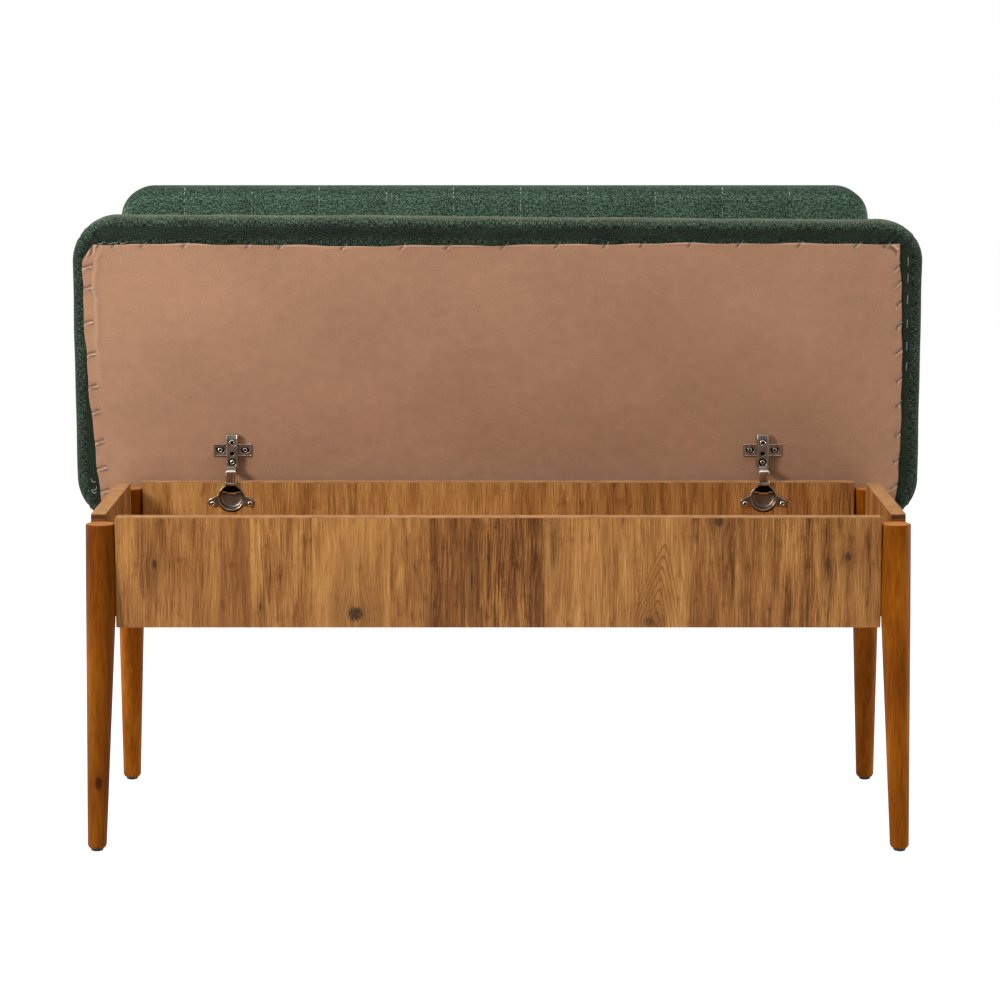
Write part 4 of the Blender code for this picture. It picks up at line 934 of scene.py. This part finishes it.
def lid_lining(finish):
    """The stapled lining: a sheet between its four cut edges, pulled into a small tuck at each staple.

    A point is blended from the four edges. A tuck is a ridge beside a groove, which start at a staple and die
    out inwards, and painted shade follows them: dark in the groove, a painted highlight on the ridge. The
    grid is closer beside the edges and the staples. Where the closed lid rests on the front panel the lining
    is flat.
    """
    # The grid's lines: even ones, and closer ones beside the staples and along the edges
    near = np.linspace(-0.006, 0.006, 13)
    left_end, whole_width = -0.525, 1.046
    beside = (TOP_STAPLES[:, None] + near - left_end).ravel() / whole_width
    margin = np.linspace(0, 0.024, 26)
    across = np.concatenate((np.linspace(0, 1, 230), beside, margin, 1 - margin))
    across = np.unique(np.clip(across, 0, 1).round(4))[None, :]
    low_z, high_z = lining_low.z - LINE_Z, lining_high.z - LINE_Z
    sides = np.concatenate((LEFT_STAPLES, RIGHT_STAPLES))[:, None] + np.linspace(-0.004, 0.004, 5)
    sides = (sides.ravel() - low_z) / (high_z - low_z)
    up = np.concatenate((np.linspace(0, 1, 56), 1 - np.linspace(0, 0.035, 22), sides))
    up = np.unique(np.clip(up, 0, 1).round(3))[:, None]
    z = low_z + (high_z - low_z) * up + 0 * across
    left = along(LEFT_EDGE, z)
    right = along(RIGHT_EDGE, z)
    x = left + (right - left) * across
    top_share = up**5
    z = z + (along(TOP_EDGE, x) - high_z) * top_share
    z = z + ripple(x, 5, (0.16, 0.071), (0.0006, 0.0005)) * top_share
    x = x + ripple(z, 6, (0.09, 0.043), (0.0006, 0.0004)) * (np.abs(across - 0.5) * 2) ** 12
    height = 0.00012 * ripple(x + 0.7 * z, 8, (0.13, 0.21, 0.34), (1.0, 1.0, 1.0))
    height = height + 0.00012 * ripple(x - 1.3 * z, 9, (0.17, 0.29), (1.0, 1.0))
    shade = 0 * height

    def crease(side, reach, width, gap):
        """A groove on one side of a line and a lip on the other, for a share that says how far it runs. Gives
        the relief and the painted shade: dark in the groove, a painted highlight on the lip.
        """
        groove = reach * bell(side + gap, width)
        lip = reach * bell(side - gap, 0.7 * width)
        return 0.0016 * lip - 0.0012 * groove, groove - 0.85 * lip

    for staple in TOP_STAPLES:
        away = along(TOP_EDGE, staple) - z
        reach = 1 - smooth(away, 0.0025, 0.0085)
        bump, dark = crease(x - staple + away * 0.55, reach, 0.0019, 0.0016)
        height, shade = height + bump, shade + dark
    for sign, staples, edge, slope, span, strength in (
        (1, LEFT_STAPLES, LEFT_EDGE, 0.30, 0.0105, 1.0), (-1, RIGHT_STAPLES, RIGHT_EDGE, -0.90, 0.0060, 0.35),
    ):
        inward = sign * (x - along(edge, z))
        for staple in staples:
            reach = 1 - smooth(inward, span, span + 0.004)
            bump, dark = crease(staple + inward * slope - z, reach, 0.0017, 0.0015)
            height, shade = height + bump, shade + dark
        # A long soft fold beside the cut edge, with a painted highlight along it and a painted line of shade
        # at its foot
        run = smooth(z, 0.06, 0.24) * (1 - smooth(z, 0.285, 0.300)) * strength
        wander = inward - ripple(z, 12, (0.071, 0.037, 0.021), (0.0012, 0.0009, 0.0006))
        height = height + 0.0013 * run * bell(wander - 0.0160, 0.0045)
        shade = shade - 0.26 * run * bell(wander - 0.0155, 0.0034)
        shade = shade + 0.50 * run**3 * bell(wander - 0.0112, 0.0013)
    for place_x, place_z, lean, size in CORNER_TUCKS:
        side = (x - place_x) * math.sin(lean) - (z - place_z) * math.cos(lean)
        run = np.abs((x - place_x) * math.cos(lean) + (z - place_z) * math.sin(lean))
        bump, dark = crease(side, size * (1 - smooth(run, 0.004, 0.012)), 0.0018, 0.0016)
        height, shade = height + bump, shade + dark
    # A raised lip along the top cut edge, with a painted highlight on it
    top_gap = along(TOP_EDGE, x) - z
    height = height + 0.0009 * bell(top_gap, 0.0016)
    shade = shade - 0.55 * bell(top_gap, 0.0014)
    tallest = 0.0001 + 0.0039 * (1 - smooth(z, 0.2955, 0.2985))
    y = FACE_Y - 0.0003 - np.clip(height, -0.0009, tallest)
    grid = np.stack((x, y, LINE_Z + z), axis=-1)
    cloth = np.stack((x, z), axis=-1)
    sheet = surface("lid_lining", grid, "lid", finish, cloth, np.clip(shade, -1, 1))
    thicken(sheet, FELT)
    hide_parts("seat_lining")


def lining_staples(finish):
    """Slanting staples along the lining's edges, and upright ones in the cover beside it."""
    top = np.column_stack((TOP_STAPLES, along(TOP_EDGE, TOP_STAPLES) - 0.0015))
    left = np.column_stack((along(LEFT_EDGE, LEFT_STAPLES) + 0.006, LEFT_STAPLES))
    right = np.column_stack((along(RIGHT_EDGE, RIGHT_STAPLES) - 0.004, RIGHT_STAPLES))
    corner = np.array(((-0.507, 0.3045), (-0.494, 0.3045), (-0.478, 0.305)))
    places = np.concatenate((top, left, right, corner))
    slant = np.concatenate((
        np.radians(52 + 10 * chance.standard_normal(len(top))),
        np.radians(14 + 8 * chance.standard_normal(len(left))),
        np.radians(50 + 12 * chance.standard_normal(len(right))),
        np.radians((12.0, 10.0, 14.0)),
    ))
    # Along the top edge the staples lie low, as the closed lid rests there
    lift = np.where(places[:, 1:] > 0.295, 0.00005, 0.0016)
    paths = staple_paths(places, slant, lift)
    tubes("lining_staples", paths, 0.00042, 8, "lid", finish)
    heights = np.array((0.281, 0.260, 0.232, 0.201, 0.172, 0.146))
    places = np.column_stack((np.full(len(heights), 0.5265), heights))
    tilt = np.radians(88 + 4 * chance.standard_normal(len(heights)))
    paths = staple_paths(places, tilt, 0.0002)
    tubes("cover_staples", paths, 0.00045, 8, "lid", finish)


# The backrest's rounding in front and the depth of its seams
BACK_EDGE = 0.017
SEAM_DEPTH = 0.0050


def back_pad(finish):
    """The channelled backrest: sections across its width, each running up the front, over and down the rear.

    Between two seams the front swells as a sine raised to a power, and beside a seam the cloth puckers. Gives
    back the places of the seams.
    """
    half_x = (rest_high.x - rest_low.x) / 2
    half_z = (rest_high.z - rest_low.z) / 2
    middle_x = (rest_low.x + rest_high.x) / 2
    middle_z = (rest_low.z + rest_high.z) / 2
    first, pitch, seams = -0.4035, 0.0875, 10
    corner, edge, rear_edge = 0.043, BACK_EDGE, 0.006
    # The sections stand closer in the middle of each channel, and end in the rounded corners
    share = np.linspace(-1, 1, 21)
    bunch = (np.sign(share) * np.abs(share) ** 1.6 + 1) / 2
    stations = np.concatenate([first + pitch * (n + bunch[:-1]) for n in range(-1, seams + 1)])
    stations = stations[np.abs(stations) < half_x - corner]
    ends = half_x - corner * (1 - np.sin(np.linspace(0, math.pi / 2, 22)))
    x = np.concatenate((-ends[::-1], stations, ends))
    past = np.clip(np.abs(x) - half_x + corner, 0, corner)
    height = half_z - corner + np.sqrt(corner**2 - past**2)
    inward = np.clip(np.abs(x) - half_x + edge, 0, edge)
    face = edge - np.sqrt(edge**2 - inward**2)
    angle = np.linspace(0, math.pi / 2, 9)
    behind = np.linspace(0, math.pi / 2, 7)
    rise = np.linspace(-1, 1, 70)[1:-1]
    flat = np.ones(len(rise))
    # Round a section: what share of the height, how much is taken off the height, and the depth
    level = np.concatenate((-np.ones(9), rise, np.ones(16), -np.ones(8)))
    taken = np.concatenate((
        edge * (1 - np.cos(angle)),
        edge * flat,
        edge * (1 - np.cos(angle[::-1])),
        rear_edge * (1 - np.cos(behind)),
        rear_edge * (1 - np.cos(behind[::-1])),
        (0.0,),
    ))
    thick = rest_high.y - rest_low.y
    deep = np.concatenate((
        edge * (1 - np.sin(angle)),
        0 * flat,
        edge * (1 - np.sin(angle[::-1])),
        thick - rear_edge * (1 - np.sin(behind)),
        thick - rear_edge * (1 - np.sin(behind[::-1])),
        (edge,),
    ))
    on_face = np.concatenate((np.sin(angle) ** 2, flat, np.sin(angle[::-1]) ** 2, np.zeros(15)))
    z = level[None] * (height[:, None] - taken[None])
    phase = (x - first) / pitch
    hollow = 1 - np.abs(np.sin(math.pi * phase)) ** 0.62
    beside = bell(np.abs(phase - np.round(phase)) * pitch - 0.006, 0.006)
    pucker = 0.00045 * beside[:, None] * ripple(z, 21, (0.013, 0.0083, 0.021), (1.0, 0.8, 0.6))
    inside = np.clip((half_x - np.abs(x)) / 0.03, 0, 1)
    swell = (SEAM_DEPTH * hollow * inside)[:, None] + pucker
    depth = deep[None] + face[:, None] * (1 - deep[None] / thick) + on_face[None] * swell
    top_dip = 0.0016 * (hollow * inside)[:, None] * (1 - on_face)[None] * (deep < thick * 0.8)[None]
    z = z - np.sign(z) * top_dip
    grid = np.stack((x[:, None] + middle_x + 0 * z, rest_low.y + depth, z + middle_z), axis=-1)
    seal = grid.mean(axis=1, keepdims=True) + 0 * grid
    grid = np.concatenate((seal[:1], grid[:1], grid, grid[-1:], seal[-1:]))
    travel = np.linalg.norm(np.diff(grid[len(grid) // 2], axis=0), axis=1)
    travel = np.concatenate(((0.0,), np.cumsum(travel)))[None] + 0 * grid[..., 0]
    cloth = np.stack((grid[..., 0], travel), axis=-1)
    # The two ends are cut from cloth of their own
    for end in (slice(0, 2), slice(-2, None)):
        cloth[end] = grid[end][..., 1:]
    pad = surface("back_pad", grid, "box", finish, cloth)
    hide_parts("backrest_cover", "backrest_foam")
    return first + pitch * np.arange(seams) + middle_x


def back_stitches(seams, finish):
    """Pale stitches up each seam: short bars that rise from the seam and dip at both ends.

    Three runs of them, each a little higher than the last, are thinned by chance, as most are sunk.
    """
    step, length, shift = 0.0052, 0.0036, 0.0006
    starts = np.arange(rest_low.z + 0.006, rest_high.z - 0.002, step)
    share = np.linspace(0, 1, 5)
    starts = np.concatenate([starts[chance.random(len(starts)) < 0.72] + shift * n for n in range(3)])
    z = starts[:, None] + share * length
    edge = BACK_EDGE
    past = np.clip(z - (rest_high.z - edge), 0, edge)
    under = np.clip((rest_low.z + edge) - z, 0, edge)
    roll = edge - np.sqrt(edge**2 - np.maximum(past, under) ** 2)
    y = rest_low.y + roll + SEAM_DEPTH * (1 - (roll / edge)) - 0.0007 * np.sin(math.pi * share)
    paths = np.concatenate([np.stack((seam + 0 * z, y, z), axis=-1) for seam in seams])
    paths = paths[chance.random(len(paths)) < 0.45]
    tubes("back_stitches", paths, 0.00036, 6, "box", finish, (1, 0, 0))


def rear_lining(finish):
    """The dark cloth on the backrest's rear: a rounded outline drawn in to its middle line, with a ripple."""
    low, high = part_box("backrest_lining")
    half_x, half_z = (high.x - low.x) / 2, (high.z - low.z) / 2
    outline, _, _ = rounded_outline(half_x, half_z, 0.027, 300)
    share = np.linspace(1, 0, 24)[:, None, None]
    # Whole steps along the middle line, so that the two halves of the sheet meet point by point
    step = 0.012
    line = np.round(middle_line(outline, half_x, half_z) / step) * step
    ring = line + (outline - line) * share
    x = ring[..., 0] + (low.x + high.x) / 2
    z = ring[..., 1] + (low.z + high.z) / 2
    y = high.y - 0.0003 + 0.00015 * ripple(x + z, 31, (0.11, 0.19), (1.0, 1.0))
    cloth = np.stack((x, z), axis=-1)
    sheet = surface("rear_lining", np.stack((x, y, z), axis=-1), "box", finish, cloth)
    thicken(sheet, FELT)
    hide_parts("backrest_lining")


def leg(corner, finish):
    """A turned leg: a profile of radius by height, sheared so that it leans while its ends stay level.

    Its top edge is eased by an arc, its lower part tapers in a straight line and its foot is an arc.
    """
    glide_low, glide_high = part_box(corner + "_glide")
    low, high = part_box(corner + "_leg")
    side = 1 if low.x > 0 else -1
    end = 1 if low.y > MIDDLE_Y else -1
    top, radius, foot, ease = high.z, 0.0175, 0.0115, 0.0022
    foot_tall, foot_round = 0.006, 0.0038
    taper_top, taper_foot = 0.277, 0.014
    arc = np.linspace(0, math.pi / 2, 7)
    heights = np.concatenate((
        (top,),
        top - ease * (1 - np.cos(arc)),
        np.linspace(top - 0.010, taper_top + 0.008, 14),
        np.linspace(taper_top - 0.002, taper_foot, 60),
        low.z + foot_tall * (1 - np.sin(arc)),
        (low.z,),
    ))
    taper = np.clip((taper_top - heights) / (taper_top - taper_foot), 0, 1)
    radii = radius + (foot - radius) * taper
    radii[1:8] = radius - ease + ease * np.sin(arc)
    radii[-8:-1] = foot - foot_round + foot_round * np.cos(arc)
    radii[[0, -1]] = 0.0
    turn = np.linspace(0, 2 * math.pi, 73)
    middle_x = (glide_low.x + glide_high.x) / 2
    middle_y = (glide_low.y + glide_high.y) / 2
    # Going down, the leg leans outwards: sideways along its taper, and to front or rear all the way
    side_lean, end_lean, lean_top = 0.0059, 0.037, 0.391
    x = middle_x - side * side_lean * np.minimum(heights / 0.275, 1.0)
    y = middle_y - end * end_lean * heights / lean_top
    grid = np.stack((
        x[:, None] + radii[:, None] * np.cos(turn),
        y[:, None] + radii[:, None] * np.sin(turn),
        heights[:, None] + 0 * turn,
    ), axis=-1)
    piece = surface(corner + "_turned_leg", grid, "box", finish)
    piece.data.set_sharp_from_angle(angle=math.radians(50))
    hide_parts(corner + "_leg")


def stray_threads(finish):
    """A few pale thread ends at the lining's lower left corner, each a line whose direction sways."""
    starts = np.array(((-0.520, -0.004), (-0.5185, -0.010), (-0.519, -0.017)))
    aims = np.radians((165.0, 235.0, 200.0))
    spans = np.array((0.007, 0.009, 0.006))
    share = np.linspace(0, 1, 9)
    curl = 0.35 * np.sin(share * 5.0)
    x = starts[:, :1] + spans[:, None] * share * np.cos(aims[:, None] + curl)
    z = starts[:, 1:] + spans[:, None] * share * np.sin(aims[:, None] + curl)
    y = FACE_Y - 0.0004 - 0.0016 * share * (1 - share) + 0 * x
    paths = np.stack((x, y, LINE_Z + z), axis=-1)
    tubes("stray_threads", paths, 0.0003, 6, "lid", finish)


# Which finish a node gets, by the first of these words that its name holds
KINDS = (
    ("front_panel", "front"), ("back_panel", "back"), ("bottom_panel", "bottom"), ("_side_panel", "side"),
    ("_leg", "turned"), ("_brace_bolt", "zinc"), ("_brace", "brace"), ("_glide", "black"), ("_foam", "foam"),
    ("_cover", "seat"), ("_lining", "lining"), ("_board", "raw"), ("_bar", "black"), ("_bolt_", "zinc"),
    ("_link", "bright"), ("", "nickel"),
)


def dress_nodes(finishes):
    """Gives every node of the frame the finish of its kind."""
    for name, node in nodes.items():
        kind = next(kind for part, kind in KINDS if part in name)
        node.data.materials.clear()
        node.data.materials.append(finishes[kind])


def show_white(tree, lit, white, output, part=1.0):
    """Shows the camera a part of a plain white, while every other ray meets the shader that is lit."""
    path = tree.nodes.new("ShaderNodeLightPath")
    share = tree.nodes.new("ShaderNodeMath")
    share.operation = "MULTIPLY"
    share.inputs[1].default_value = part
    mix = tree.nodes.new("ShaderNodeMixShader")
    tree.links.new(path.outputs["Is Camera Ray"], share.inputs[0])
    tree.links.new(share.outputs[0], mix.inputs[0])
    tree.links.new(lit.outputs[0], mix.inputs[1])
    tree.links.new(white.outputs[0], mix.inputs[2])
    tree.links.new(mix.outputs[0], output.inputs[0])


def backdrop():
    """White surroundings that light the bench at a low level, and a pale floor that keeps its shadow."""
    world = bpy.data.worlds.new("backdrop")
    bpy.context.scene.world = world
    world.use_nodes = True
    tree = world.node_tree
    ambient = tree.nodes["Background"]
    white = tree.nodes.new("ShaderNodeBackground")
    for shader, strength in ((ambient, 0.30), (white, 1.0)):
        shader.inputs[0].default_value = (1, 1, 1, 1)
        shader.inputs[1].default_value = strength
    show_white(tree, ambient, white, tree.nodes["World Output"])

    floor_mesh = bpy.data.meshes.new("floor")
    corners = [(-9, -7, 0), (9, -7, 0), (9, 11, 0), (-9, 11, 0)]
    floor_mesh.from_pydata(corners, [], [(0, 1, 2, 3)])
    floor = bpy.data.objects.new("floor", floor_mesh)
    bpy.context.scene.collection.objects.link(floor)
    paper = bpy.data.materials.new("paper")
    paper.use_nodes = True
    tree = paper.node_tree
    matt = tree.nodes["Principled BSDF"]
    matt.inputs["Base Color"].default_value = (0.8, 0.8, 0.8, 1)
    matt.inputs["Roughness"].default_value = 1.0
    glow = tree.nodes.new("ShaderNodeEmission")
    glow.inputs["Strength"].default_value = 1.25
    show_white(tree, matt, glow, tree.nodes["Material Output"], 0.75)
    floor_mesh.materials.append(paper)


# The lamps: name, place, the point that each is aimed at, size in metres and power in watts
LAMPS = (
    ("key", (-2.3, -1.8, 1.9), (-0.1, 0, 0.5), 0.8, 70),
    ("fill", (2.6, -3.4, 1.4), (0, 0, 0.45), 2.2, 6),
    ("top", (0.0, 0.1, 3.2), (0, 0.1, 0.5), 1.8, 96),
    ("left_side", (-2.9, 0.7, 0.9), (0, 0, 0.45), 1.6, 34),
    ("right_side", (2.9, 0.7, 0.9), (0, 0, 0.45), 1.6, 52),
)
# The photograph's width and focal length in pixels, and the camera's tilt, side place, distance and height
PHOTO_PIXELS = 1000
FOCAL_PIXELS = 3313
CAMERA_TILT = 8.08
CAMERA_X = 0.0033
CAMERA_AWAY = 4.069
CAMERA_Z = 0.9748


def lamps_and_camera():
    """A key from the upper left front, a fill, lamps above and at both sides, and the photograph's view."""
    scene = bpy.context.scene
    for name, place, aim, size, power in LAMPS:
        lamp = bpy.data.lights.new(name, "AREA")
        lamp.energy = power
        lamp.size = size
        holder = bpy.data.objects.new(name, lamp)
        scene.collection.objects.link(holder)
        holder.location = place
        holder.rotation_euler = (Vector(aim) - Vector(place)).to_track_quat("-Z", "Y").to_euler()

    camera = bpy.data.cameras.new("camera")
    camera.sensor_width = 36
    camera.lens = FOCAL_PIXELS / PHOTO_PIXELS * camera.sensor_width
    holder = bpy.data.objects.new("camera", camera)
    scene.collection.objects.link(holder)
    holder.location = (CAMERA_X, MIDDLE_Y - CAMERA_AWAY, CAMERA_Z)
    holder.rotation_euler = (math.radians(90 - CAMERA_TILT), 0, 0)
    scene.camera = holder
    scene.view_settings.view_transform = "Standard"


# The front and back panels' planks: near edge, change of tone and change of contrast
FRONT_PLANKS = (
    (-0.385, 0.01, -0.10), (-0.331, -0.05, -0.05), (-0.295, 0.06, 0.20), (-0.281, -0.03, 0.00),
    (-0.221, 0.075, -0.15), (-0.128, -0.07, 0.10), (-0.080, -0.10, 0.03), (-0.0385, 0.06, 0.07),
    (-0.0127, -0.03, 0.22), (0.057, 0.14, -0.36), (0.230, -0.11, 0.10), (0.284, 0.05, 0.00),
    (0.338, -0.02, 0.06), (0.415, 0.05, -0.09),
)
BACK_PLANKS = (
    (-0.47, 0.13, 0.00), (-0.30, -0.05, 0.06), (-0.18, 0.05, -0.04), (-0.02, -0.03, 0.08),
    (0.14, -0.07, -0.10), (0.30, 0.02, 0.04),
)
# The front panel's knots: place across and up, half width, half height and strength
FRONT_KNOTS = (
    (-0.4093, 0.3427, 0.0032, 0.0060, 0.9), (-0.1693, 0.2829, 0.0090, 0.0090, 1.0),
    (0.2646, 0.3944, 0.0060, 0.0065, 0.8), (0.2995, 0.3413, 0.0020, 0.0034, 0.5),
    (0.3943, 0.3423, 0.0030, 0.0100, 0.8), (0.4190, 0.3523, 0.0042, 0.0050, 0.9),
    (-0.0305, 0.3230, 0.0016, 0.0160, 0.8), (0.0668, 0.3663, 0.0045, 0.0300, 0.45),
    (-0.2833, 0.2913, 0.0014, 0.0065, 0.9), (0.3250, 0.2890, 0.0011, 0.0012, 0.9),
    (0.1820, 0.2737, 0.0060, 0.0050, 0.6),
)


def build():
    """Makes the finishes, dresses the frame's nodes and adds every piece that is worked out here."""
    # The seat cloth is set far darker than the backrest's cloth, in part as painted shade on the open lid's
    # front; lit above one paints its upward faces lighter, and it has painted shade in its pleats
    seat_cloth = woven_finish(
        "seat_cloth", 0.95, (10, 12, 8), (26, 32, 24), (76, 95, 79),
        slub=3.2, drawn=1.6, fuzz=0.50, nap=0.24, lit=1.56, crease_shaded=True,
    )
    # Lit below one is painted shade on the backrest's upward faces
    back_cloth = woven_finish(
        "back_cloth", 1.9, (33, 50, 38), (65, 85, 69), (108, 135, 115),
        slub=4.0, drawn=0.8, fuzz=0.90, nap=0.04, lit=0.44,
    )
    # The felt has painted shade and painted highlights at its tucks
    felt = lining_finish("lining_felt", (166, 126, 99), True)
    dark_felt = lining_finish("rear_felt", (40, 46, 42))
    turned = turned_wood_finish("stained_beech")
    steel = metal_finish("nickel_plate", (200, 190, 178), 0.22)
    # These two carry painted shade in holes and recesses and on upward faces
    shade_painted_steel = metal_finish("pressed_nickel", (176, 160, 144), 0.20, sunk=True)
    shade_painted_bright = metal_finish("bright_screw", (226, 218, 206), 0.12, sunk=True)
    front_arch = (0.2015, 0.030, 0.377)
    finishes = {
        "front": board_finish("printed_pine", "x", "z", FRONT_PLANKS, FRONT_KNOTS, (front_arch,)),
        "back": board_finish("printed_pine_back", "x", "z", BACK_PLANKS),
        "side": board_finish("printed_pine_side", "y", "z"),
        "bottom": board_finish("printed_pine_bottom", "y", "x", banded=False),
        "turned": turned,
        "brace": plain_wood_finish("sawn_brace", (196, 160, 118)),
        "raw": plain_wood_finish("raw_board", (196, 164, 124)),
        "foam": foam_finish("soft_foam"),
        "seat": seat_cloth,
        "lining": felt,
        "black": metal_finish("black_coat", (34, 34, 35), 0.45, 0.0),
        "zinc": metal_finish("zinc_plate", (170, 168, 162), 0.35),
        "bright": metal_finish("bright_nickel", (224, 214, 202), 0.16),
        "nickel": steel,
    }
    dress_nodes(finishes)
    seat_pad(seat_cloth)
    lid_lining(felt)
    lining_staples(metal_finish("staple_wire", (150, 150, 150), 0.35))
    stray_threads(plain_wood_finish("pale_thread", (205, 205, 196)))
    seams = back_pad(back_cloth)
    back_stitches(seams, plain_wood_finish("seam_thread", (176, 186, 168)))
    rear_lining(dark_felt)
    front_board(finishes["front"])
    for label in ("left", "right"):
        hinge(label, shade_painted_steel, shade_painted_bright)
        hinge_link(label, shade_painted_bright)
        hinge_cup(label, shade_painted_steel)
    for corner in ("front_left", "front_right", "rear_left", "rear_right"):
        leg(corner, turned)


build()
backdrop()
lamps_and_camera()
